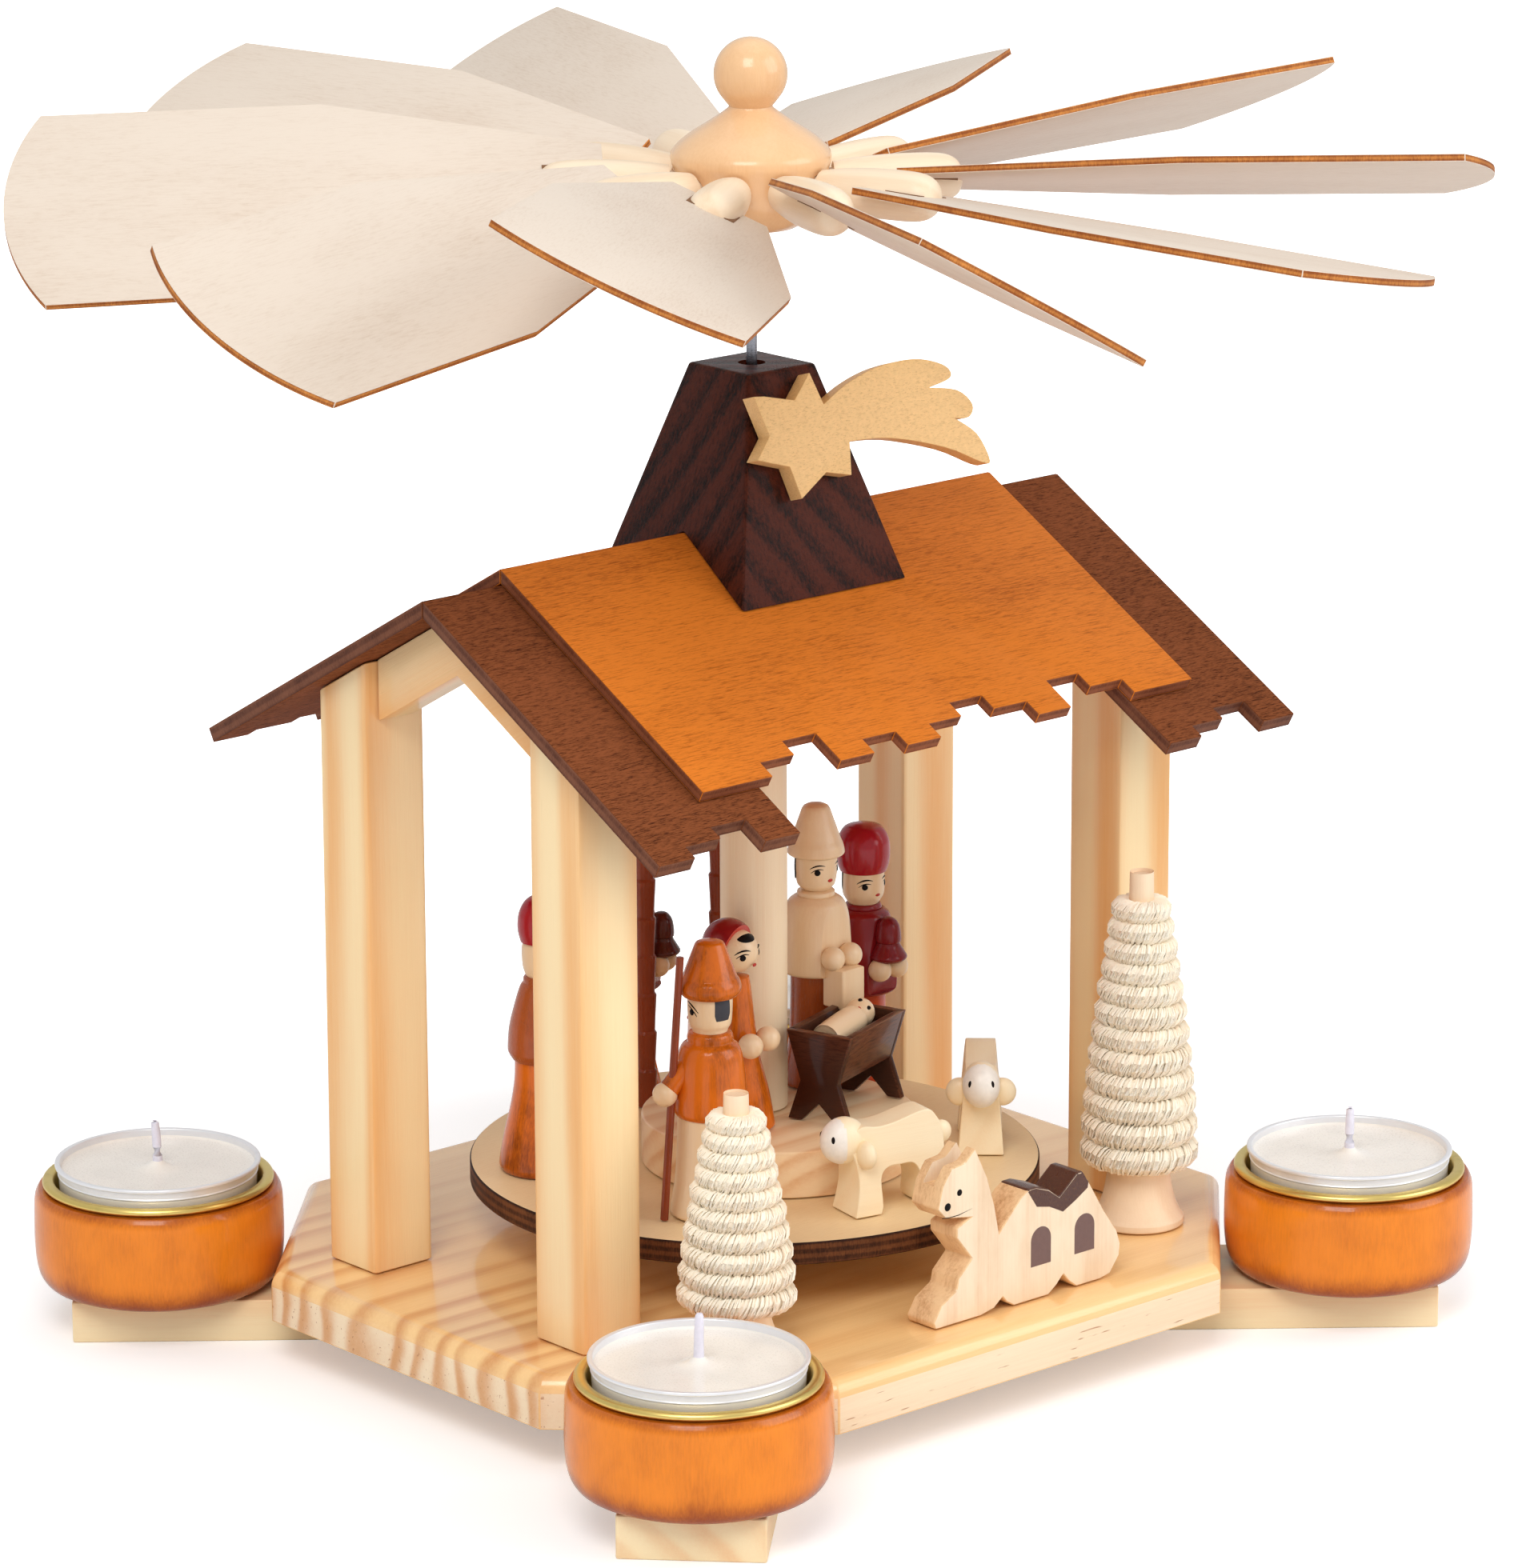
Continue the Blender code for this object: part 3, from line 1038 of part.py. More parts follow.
def build_figures(spin):
    """The turned figures and what they carry."""
    for name, spec in FIGURES.items():
        profile = [(0, 0)] + on_axis(spec["shares"], spec["radius"], spec["height"])
        profile.append((0, profile[-1][1]))
        finish_name = "red_stain" if name == "figure_red_turban" else "robe_stain"
        figure = add_object(name, turned(profile, FIGURE_SIDES), finish_name, spin, smooth=True)
        figure.location = (*spec["place"], LEVELS[spec["on"]])
        if spec["carries"] == "staff":
            add_staff(figure, spec)
            continue
        if spec["carries"] != "hood":
            flatten_front(figure, name, spec)
        add_hands(figure, name, spec)
        if spec["carries"] == "gift":
            add_gift(figure, spec)
        if spec["carries"] == "vessel":
            add_vessel(figure, name, spec)
        if spec["carries"] == "hood":
            add_hood(figure, spec)


def build():
    """The whole carousel."""
    clear_scene()
    build_slats()
    build_board()
    build_posts()
    build_gable_frames()
    build_roof()
    build_chimney()
    build_comet()
    build_candles()
    build_trees()
    build_camel()
    spin = add_pivot("carousel_axis", (0, 0, 0))
    build_turntable(spin)
    build_spindle(spin)
    build_hub(spin)
    build_blades(spin)
    build_manger(spin)
    build_figures(spin)
    build_sheep(spin)
    build_palms(spin)


build()
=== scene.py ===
"""Candle carousel: the visible pieces and their finishes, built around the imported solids.

Lengths in the tables are in millimetres and become metres where a shape is made. Each piece is shaped in its
own frame, notes there how its grain runs, and is then set in its place.
"""

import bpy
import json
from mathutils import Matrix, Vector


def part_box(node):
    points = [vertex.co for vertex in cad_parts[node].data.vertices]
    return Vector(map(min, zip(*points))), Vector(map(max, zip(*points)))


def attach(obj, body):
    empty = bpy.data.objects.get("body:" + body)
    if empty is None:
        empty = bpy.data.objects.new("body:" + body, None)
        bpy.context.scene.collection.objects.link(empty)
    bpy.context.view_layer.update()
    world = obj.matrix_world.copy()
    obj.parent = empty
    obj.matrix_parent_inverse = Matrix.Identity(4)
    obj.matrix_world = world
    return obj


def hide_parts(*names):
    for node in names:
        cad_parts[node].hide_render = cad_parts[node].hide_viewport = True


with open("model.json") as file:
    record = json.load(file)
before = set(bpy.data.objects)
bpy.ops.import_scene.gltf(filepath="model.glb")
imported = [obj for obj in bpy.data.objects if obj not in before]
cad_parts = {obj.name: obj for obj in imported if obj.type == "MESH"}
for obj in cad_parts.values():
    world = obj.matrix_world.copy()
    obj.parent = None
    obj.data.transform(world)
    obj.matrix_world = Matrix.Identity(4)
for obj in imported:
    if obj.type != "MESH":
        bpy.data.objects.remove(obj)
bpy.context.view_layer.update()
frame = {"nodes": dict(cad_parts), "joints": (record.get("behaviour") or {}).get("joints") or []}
LOW = {node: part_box(node)[0] for node in frame["nodes"]}
HIGH = {node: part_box(node)[1] for node in frame["nodes"]}
PLACE_OF = {joint["child"]: joint.get("pos_m") for joint in frame["joints"]}

import json
import math
import random

import bmesh
import bpy
from bpy.props import FloatProperty, FloatVectorProperty, PointerProperty
from mathutils import Matrix, Vector

bl_info = {
    "name": "Candle carousel",
    "version": (1, 0, 0),
    "blender": (4, 5, 0),
    "location": "3D view > Sidebar > Carousel",
    "description": "Builds a one-tier wooden candle carousel with its stable, figures, trees and rotor",
    "category": "Object",
}

MM = 0.001
LIE_DOWN = Matrix.Rotation(math.pi / 2, 4, "X")
GRAIN_ALONG_X = Matrix.Rotation(-math.pi / 2, 4, "Y")
GRAIN_ALONG_Y = Matrix.Rotation(math.pi / 2, 4, "X")


def shade(red, green, blue):
    """A colour given as it looks, from 0 to 255, as the linear one that a shader takes."""
    linear = []
    for value in (red, green, blue):
        share = value / 255
        linear.append(share / 12.92 if share <= 0.04045 else ((share + 0.055) / 1.055) ** 2.4)
    return (*linear, 1)


class Wire:
    """A socket that Python's operators work on: each adds its node."""

    def __init__(self, bench, socket):
        self.bench = bench
        self.socket = socket

    def maths(self, operation, first, second):
        """Maths on numbers, a vector scaled by a number, or maths on vectors."""
        if not (is_vector(first) or is_vector(second)):
            return self.bench.node("ShaderNodeMath", {"operation": operation}, {0: first, 1: second})
        if operation == "MULTIPLY" and not is_vector(second):
            inputs, operation = {0: first, "Scale": second}, "SCALE"
        else:
            pair = [(v, v, v) if isinstance(v, (int, float)) else v for v in (first, second)]
            inputs = {0: pair[0], 1: pair[1]}
        return self.bench.node("ShaderNodeVectorMath", {"operation": operation}, inputs)

    def __add__(self, other):
        return self.maths("ADD", self, other)

    def __radd__(self, other):
        return self.maths("ADD", other, self)

    def __sub__(self, other):
        return self.maths("SUBTRACT", self, other)

    def __rsub__(self, other):
        return self.maths("SUBTRACT", other, self)

    def __mul__(self, other):
        return self.maths("MULTIPLY", self, other)

    __rmul__ = __mul__

    def __truediv__(self, other):
        return self.maths("DIVIDE", self, other)

    def __pow__(self, other):
        return self.maths("POWER", self, other)


def is_vector(value):
    """Whether a value or the socket of a wire holds more than one number."""
    return isinstance(value, tuple) or (isinstance(value, Wire) and value.socket.type in ("VECTOR", "RGBA"))


FINISH = {}


class Bench:
    """The workbench of one material: its nodes are added here, and it is kept under its name in FINISH."""

    def __init__(self, name):
        self.material = bpy.data.materials.new(name)
        self.material.use_nodes = True
        self.tree = self.material.node_tree
        self.shader = self.tree.nodes["Principled BSDF"]
        FINISH[name] = self.material

    def node(self, kind, settings=None, inputs=None, output=0):
        """Any node: its settings are set first, then the values or links of its sockets."""
        node = self.tree.nodes.new(kind)
        for key, value in (settings or {}).items():
            setattr(node, key, value)
        for key, value in (inputs or {}).items():
            self.feed(node.inputs[key], value)
        return Wire(self, node.outputs[output])

    def feed(self, socket, value):
        if isinstance(value, Wire):
            self.tree.links.new(value.socket, socket)
        else:
            socket.default_value = value

    def set(self, **values):
        """Values or links of the shader's sockets, named with an underscore for each space."""
        for key, value in values.items():
            self.feed(self.shader.inputs[key.replace("_", " ")], value)

    def grain(self):
        """The place in the piece's own frame, in millimetres, with the fibres along Z."""
        return self.node("ShaderNodeAttribute", {"attribute_name": "grain"}, output=1) * (1 / MM)

    def split(self, vector):
        parts = self.node("ShaderNodeSeparateXYZ", None, {0: vector}).socket.node
        return [Wire(self, parts.outputs[i]) for i in range(3)]

    def join(self, x, y, z):
        return self.node("ShaderNodeCombineXYZ", None, {0: x, 1: y, 2: z})

    def cloud(self, vector, scale=1.0, detail=3.0, rough=0.55, wander=0.0):
        return self.node("ShaderNodeTexNoise", None, {
            "Vector": vector, "Scale": scale, "Detail": detail, "Roughness": rough, "Distortion": wander})

    def step(self, value, low, high):
        """Rises smoothly from 0 to 1 as the value goes from low to high."""
        settings = {"interpolation_type": "SMOOTHSTEP"}
        return self.node("ShaderNodeMapRange", settings, {"Value": value, "From Min": low, "From Max": high})

    def mix(self, first, second, factor):
        return self.node("ShaderNodeMix", {"data_type": "RGBA"}, {0: factor, 6: first, 7: second}, output=2)

    def bump(self, height, distance):
        return self.node("ShaderNodeBump", None, {"Height": height, "Distance": distance, "Strength": 1.0})


def rings(bench, grain, spacing, pith, wander):
    """Late wood of the year rings round a pith line, 0 to 1, with its slow wander along the trunk."""
    slow = bench.cloud(grain * (0.045, 0.045, 0.006), detail=1.0)
    x, y, _ = bench.split(grain)
    radius = ((x - pith[0]) ** 2 + (y - pith[1]) ** 2) ** 0.5 + (slow - 0.5) * wander
    turn = bench.node("ShaderNodeMath", {"operation": "FRACT"}, {0: radius / spacing})
    return bench.step(turn, 0.1, 0.72) * (1 - bench.step(turn, 0.74, 1.0))


def timber(name, pale, dark, spacing, pith, wander, contrast, fibre=0.14, rough=0.42, coat=0.15,
           bump=0.00004, mottle=0.0, fleck=0.0, specular=0.35, fade=None, gloss=0.2):
    """Varnished or bare wood: soft year rings, fibres, a slow change of colour and fine pores."""
    bench = Bench(name)
    grain = bench.grain()
    late = rings(bench, grain, spacing, pith, wander)
    if fade:
        late = late * (bench.step(bench.split(grain)[2], *fade) * 0.75 + 0.25)
    fine = bench.cloud(grain * (1.7, 1.7, 0.04), detail=5.0, rough=0.65)
    hair = bench.cloud(grain * (7.0, 7.0, 0.2), detail=2.0)
    slow = bench.cloud(grain * (0.09, 0.09, 0.012), detail=2.0)
    amount = late * contrast + (fine - 0.5) * fibre * 2.4 + (hair - 0.5) * fibre + (slow - 0.5) * 0.5 + 0.08
    if mottle:
        amount = amount + (bench.cloud(grain * (0.3, 0.3, 0.12), detail=4.0, rough=0.6) - 0.5) * mottle
    colour = bench.mix(pale, dark, bench.step(amount, -0.1, 1.0))
    if fleck:
        marks = bench.step(bench.cloud(grain * (1.5, 1.5, 0.16), detail=2.0, rough=0.5), 0.66, 0.74)
        colour = bench.mix(colour, shade(176, 112, 66), marks * fleck)
    relief = fine * 0.7 + hair * 0.6 - late * 0.35
    bench.set(Base_Color=colour, Roughness=fine * 0.16 + (rough - 0.08), Coat_Weight=coat,
                     Coat_Roughness=gloss, Specular_IOR_Level=specular, Normal=bench.bump(relief, bump))


def stain(name, colour, deep, worn=None, rough=0.28, coat=0.3, rise=0.0, height=1.0, bump=0.00003, fleck=0.5,
          blotch=0.7, specular=0.3):
    """Glossy stain on turned wood: the fibres drink it unevenly, and with rise it is darker towards the foot
    and the rim.
    """
    bench = Bench(name)
    grain = bench.grain()
    fine = bench.cloud(grain * (2.6, 2.6, 0.35), detail=5.0, rough=0.65)
    soft = bench.cloud(grain * (0.12, 0.12, 0.1), detail=2.0, rough=0.5, wander=0.3)
    amount = (fine - 0.5) * fleck + (soft - 0.45) * blotch + 0.1
    if rise:
        z = bench.split(grain)[2]
        foot, rim = 1 - bench.step(z, 0.0, height * 0.34), bench.step(z, height * 0.88, height)
        amount = amount + foot * rise + rim * rise * 0.7
    shown = bench.mix(colour, deep, bench.step(amount, -0.1, 1.0))
    if worn:
        rub = bench.step(bench.node("ShaderNodeNewGeometry", output=7), 0.53, 0.60)
        shown = bench.mix(shown, worn, rub * bench.step(fine, 0.3, 0.6) * 0.85)
    bench.set(Base_Color=shown, Roughness=fine * 0.15 + (rough - 0.07), Coat_Weight=coat,
                     Coat_Roughness=0.1, Specular_IOR_Level=specular, Normal=bench.bump(fine, bump))


def plywood(name, face, fleck, rough=0.5, marks=0.5, blush=0.25, bump=0.00002, length=0.14, specular=0.2,
            fine=1.0):
    """A rotary-cut face: short flecks along the grain over a soft, cloudy colour."""
    bench = Bench(name)
    grain = bench.grain()
    short = bench.cloud(grain * (2.4 * fine, 2.4 * fine, length * 2.4 * fine), detail=4.0, rough=0.7)
    tiny = bench.cloud(grain * (5.5 * fine, 5.5 * fine, length * 6 * fine), detail=2.0)
    cloudy = bench.cloud(grain * (0.05, 0.05, 0.02), detail=3.0)
    amount = bench.step(short, 0.40, 0.78) * marks + (tiny - 0.5) * marks * 0.8
    amount = amount + (cloudy - 0.5) * blush + 0.05
    colour = bench.mix(face, fleck, bench.step(amount, -0.05, 0.9))
    bench.set(Base_Color=colour, Roughness=short * 0.2 + (rough - 0.1), Specular_IOR_Level=specular,
                     Normal=bench.bump(short + tiny * 0.5, bump))


def sawn_edge(name, pale, dark, plies, thick, char=0.2, rough=0.6):
    """A cut edge of plywood: its plies lie across the thickness (X of the grain), browned by the cut."""
    bench = Bench(name)
    grain = bench.grain()
    x, y, z = bench.split(grain)
    level = x / thick + 0.5
    layer = bench.node("ShaderNodeMath", {"operation": "PINGPONG"}, {0: level * plies, 1: 1.0})
    streak = bench.cloud(bench.join(x * 0.9, y * 3.2, z * 3.2), detail=4.0, rough=0.75)
    soot = bench.cloud(grain * 0.2, detail=2.0)
    rim = bench.step(level, 0.10, 0.0) + bench.step(level, 0.90, 1.0)
    amount = bench.step(layer, 0.25, 0.75) * 0.3 + (streak - 0.45) * 1.1
    amount = amount + (soot - 0.5) * 0.6 + rim * 0.4 + char
    colour = bench.mix(pale, dark, bench.step(amount, 0.0, 1.0))
    bench.set(Base_Color=colour, Roughness=rough, Specular_IOR_Level=0.15,
                     Normal=bench.bump(streak, 0.00006))


def paint(name, colour, rough=0.3, coat=0.1, specular=0.3, speckle=0.0):
    """A brushed dab of paint, not quite even."""
    bench = Bench(name)
    grain = bench.grain()
    uneven = bench.cloud(grain * 0.9, detail=3.0)
    shown = bench.mix(colour, (0, 0, 0, 1), (uneven - 0.35) * 0.22)
    height = uneven
    if speckle:
        fine = bench.cloud(grain * (5.0, 5.0, 1.4), detail=3.0, rough=0.7)
        shown = bench.mix(shown, shade(176, 120, 62), bench.step(fine, 0.5, 0.72) * speckle)
        height = uneven + fine
    bench.set(Base_Color=shown, Roughness=uneven * 0.2 + (rough - 0.1), Coat_Weight=coat,
                     Specular_IOR_Level=specular, Normal=bench.bump(height, 0.00003))


def metal(name, colour, rough=0.25, brushed=0.1, metallic=1.0, tarnish=0.25):
    """Pressed or drawn metal with faint tool lines and a little tarnish."""
    bench = Bench(name)
    grain = bench.grain()
    lines = bench.cloud(grain * (0.6, 0.6, 5.0), detail=3.0)
    dull = bench.cloud(grain * 0.3, detail=2.0)
    shown = bench.mix(colour, shade(70, 60, 40), bench.step(dull, 0.5, 0.9) * tarnish)
    bench.set(Base_Color=shown, Metallic=metallic, Roughness=lines * brushed + dull * 0.08 + rough - 0.08,
                     Normal=bench.bump(lines, 0.00001))


def smooth_curve(points, steps=6):
    """A rounded line through the points, which stays on them."""
    if len(points) < 3:
        return list(points)
    ends = [points[0], *points, points[-1]]
    line = []
    for a, b, c, d in zip(ends, ends[1:], ends[2:], ends[3:]):
        for step in range(steps):
            t = step / steps
            line.append(tuple(
                0.5 * (2 * q + (r - p) * t + (2 * p - 5 * q + 4 * r - s) * t * t
                       + (3 * q - p - 3 * r + s) * t ** 3) for p, q, r, s in zip(a, b, c, d)))
    return line + [points[-1]]


def around(radius, angle, z=0.0):
    return Vector((radius * math.cos(angle), radius * math.sin(angle), z))


def lathe(runs, sides=64):
    """A solid turned about Z. Each run is a face number and (radius, height) points. It starts where the run
    before it ended, a rounded line joins its points, and runs meet at sharp corners. The first and the last
    point of the whole lie on the axis."""
    bm = bmesh.new()
    profile, finishes, ended = [], [], []
    for finish, *points in runs:
        line = [(max(r, 0.0) * MM, z * MM) for r, z in smooth_curve(ended + points)]
        ended = points[-1:]
        if profile and math.dist(profile[-1], line[0]) < 1e-7:
            line = line[1:]
        for point in line:
            if profile:
                finishes.append(finish)
            profile.append(point)
    rows = []
    for r, z in profile:
        if r < 1e-7:
            rows.append([bm.verts.new((0, 0, z))])
        else:
            rows.append([bm.verts.new(around(r, math.tau * k / sides, z)) for k in range(sides)])
    for (below, above), finish in zip(zip(rows, rows[1:]), finishes):
        for k in range(sides):
            corners = []
            for row, index in ((below, k), (below, k + 1), (above, k + 1), (above, k)):
                vert = row[index % len(row)]
                if vert not in corners:
                    corners.append(vert)
            if len(corners) > 2:
                bm.faces.new(corners).material_index = finish
    return bm


def sawn(outline, thick, ease=0.0, segments=2, edge=0):
    """A board sawn to an (x, y) outline, its thickness from 0 up along Z, with eased edges."""
    bm = bmesh.new()
    face = bm.faces.new([bm.verts.new((x * MM, y * MM, 0)) for x, y in outline])
    made = bmesh.ops.extrude_face_region(bm, geom=[face])
    top = [v for v in made["geom"] if isinstance(v, bmesh.types.BMVert)]
    bmesh.ops.translate(bm, verts=top, vec=(0, 0, thick * MM))
    bmesh.ops.recalc_face_normals(bm, faces=bm.faces)
    if edge:
        for f in bm.faces:
            f.material_index = 0 if abs(f.normal.z) > 0.9 else edge
    ease_edges(bm, ease, segments)
    return bm


def ease_edges(bm, width, segments=2, least=25):
    """Round the edges that are sharper than the least angle."""
    if width:
        bm.normal_update()
        sharp = [e for e in bm.edges if len(e.link_faces) == 2 and e.calc_face_angle(0) > math.radians(least)]
        bmesh.ops.bevel(bm, geom=sharp, offset=width * MM, segments=segments, profile=0.6, affect="EDGES",
                        clamp_overlap=True)
    return bm


def brick(low, high, ease=0.0, segments=2):
    """A block between two corners, with eased edges."""
    (x0, y0, z0), (x1, y1, z1) = low, high
    bm = sawn([(x0, y0), (x1, y0), (x1, y1), (x0, y1)], z1 - z0)
    bmesh.ops.translate(bm, verts=bm.verts, vec=(0, 0, z0 * MM))
    return ease_edges(bm, ease, segments)


def bead(centre, radius, stretch=(1, 1, 1), sides=32):
    """A turned ball, stretched where it is asked."""
    bm = bmesh.new()
    bmesh.ops.create_uvsphere(bm, u_segments=sides, v_segments=sides * 3 // 4, radius=radius * MM)
    bmesh.ops.scale(bm, vec=stretch, verts=bm.verts)
    bmesh.ops.translate(bm, vec=Vector(centre) * MM, verts=bm.verts)
    return bm


def dowel(start, end, start_radius, end_radius, sides, ease=0.0):
    """A round bar between two points."""
    start, end = Vector(start), Vector(end)
    bm = bmesh.new()
    bmesh.ops.create_cone(bm, cap_ends=True, segments=sides, radius1=start_radius * MM,
                          radius2=end_radius * MM, depth=(end - start).length * MM)
    ease_edges(bm, ease, 1, 50)
    turn = (end - start).to_track_quat("Z", "Y").to_matrix().to_4x4()
    bmesh.ops.transform(bm, matrix=Matrix.Translation((start + end) / 2 * MM) @ turn, verts=bm.verts)
    return bm


def lift(x=0.0, y=0.0, z=0.0, turn=0.0):
    """A place in metres, turned about Z."""
    return Matrix.Translation((x, y, z)) @ Matrix.Rotation(turn, 4, "Z")


class Piece:
    """A growing piece. Each part that it takes in keeps the grain of its own frame, shifted by the seed so
    that pieces of one kind differ. Seed 0 shifts nothing."""

    def __init__(self, name, seed=0):
        self.name = name
        self.bm = bmesh.new()
        self.seed = seed
        self.finishes = []

    def number_of(self, finish):
        """The number of this finish on the piece."""
        if finish not in self.finishes:
            self.finishes.append(finish)
        return self.finishes.index(finish)

    def take(self, part, finishes, place=Matrix(), grain=Matrix()):
        """Take in a part, with one finish, or with several that its face numbers point to."""
        layer = part.verts.layers.float_vector.new("grain")
        chance = random.Random(self.seed)
        shift = Vector((chance.uniform(-9, 9), chance.uniform(-9, 9), chance.uniform(0, 900))) * MM
        keep = Vector((0, 0, 0)) if self.seed == 0 else shift
        for vert in part.verts:
            vert[layer] = grain @ vert.co + keep
        numbers = [self.number_of(f) for f in ((finishes,) if isinstance(finishes, str) else finishes)]
        for face in part.faces:
            face.material_index = numbers[min(face.material_index, len(numbers) - 1)]
            face.smooth = True
        bmesh.ops.transform(part, matrix=place, verts=part.verts)
        bmesh.ops.recalc_face_normals(part, faces=part.faces)
        loose = bpy.data.meshes.new("loose")
        part.to_mesh(loose)
        part.free()
        self.bm.from_mesh(loose)
        bpy.data.meshes.remove(loose)
        return self

    def place(self, body, slot, *nodes, angle=32.0):
        """Finish the piece, set it riding on its body, and let it stand for its solids."""
        mesh = bpy.data.meshes.new(self.name)
        self.bm.to_mesh(mesh)
        self.bm.free()
        mesh.set_sharp_from_angle(angle=math.radians(angle))
        for finish in self.finishes:
            mesh.materials.append(FINISH[finish])
        obj = bpy.data.objects.new(self.name, mesh)
        bpy.context.scene.collection.objects.link(obj)
        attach(obj, body)
        if nodes:
            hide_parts(*nodes)
        return obj


def carve(part, tool):
    """Cut the tool's shape out of a part."""
    holders = []
    for bm in (part, tool):
        bmesh.ops.recalc_face_normals(bm, faces=bm.faces)
        mesh = bpy.data.meshes.new("carve")
        bm.to_mesh(mesh)
        bm.free()
        holders.append(bpy.data.objects.new("carve", mesh))
        bpy.context.scene.collection.objects.link(holders[-1])
    cut = holders[0].modifiers.new("cut", "BOOLEAN")
    cut.operation = "DIFFERENCE"
    cut.object = holders[1]
    cut.solver = "EXACT"
    shown = holders[0].evaluated_get(bpy.context.evaluated_depsgraph_get())
    result = bmesh.new()
    result.from_mesh(shown.to_mesh())
    shown.to_mesh_clear()
    for holder in holders:
        mesh = holder.data
        bpy.data.objects.remove(holder)
        bpy.data.meshes.remove(mesh)
    return result


def side_cut(outline, thick, ease, segments):
    """A piece sawn to an (x, z) outline, its thickness along Y from 0."""
    bm = sawn(outline, thick, ease, segments)
    bmesh.ops.transform(bm, matrix=Matrix.Translation((0, thick * MM, 0)) @ LIE_DOWN, verts=bm.verts)
    return bm


def upright(outline, low, high, ease=0.0):
    """A piece sawn to a (y, z) outline, its thickness along X."""
    bm = sawn(outline, high - low, ease)
    swap = Matrix(((0, 0, 1, low * MM), (1, 0, 0, 0), (0, 1, 0, 0), (0, 0, 0, 1)))
    bmesh.ops.transform(bm, matrix=swap, verts=bm.verts)
    return bm


def rope(path, radii, sides=6, bm=None):
    """A round strand along a path, in metres, with a radius at each point."""
    bm = bm or bmesh.new()
    rows = []
    for i, (point, radius) in enumerate(zip(path, radii)):
        ahead = path[min(i + 1, len(path) - 1)] - path[max(i - 1, 0)]
        turn = ahead.to_track_quat("Z", "Y")
        rows.append([bm.verts.new(point + turn @ around(radius, math.tau * k / sides)) for k in range(sides)])
    for below, above in zip(rows, rows[1:]):
        for k in range(sides):
            bm.faces.new((below[k - 1], below[k], above[k], above[k - 1]))
    bm.faces.new(reversed(rows[0]))
    bm.faces.new(rows[-1])
    return bm


def moved(part, matrix):
    bmesh.ops.transform(part, matrix=matrix, verts=part.verts)
    return part


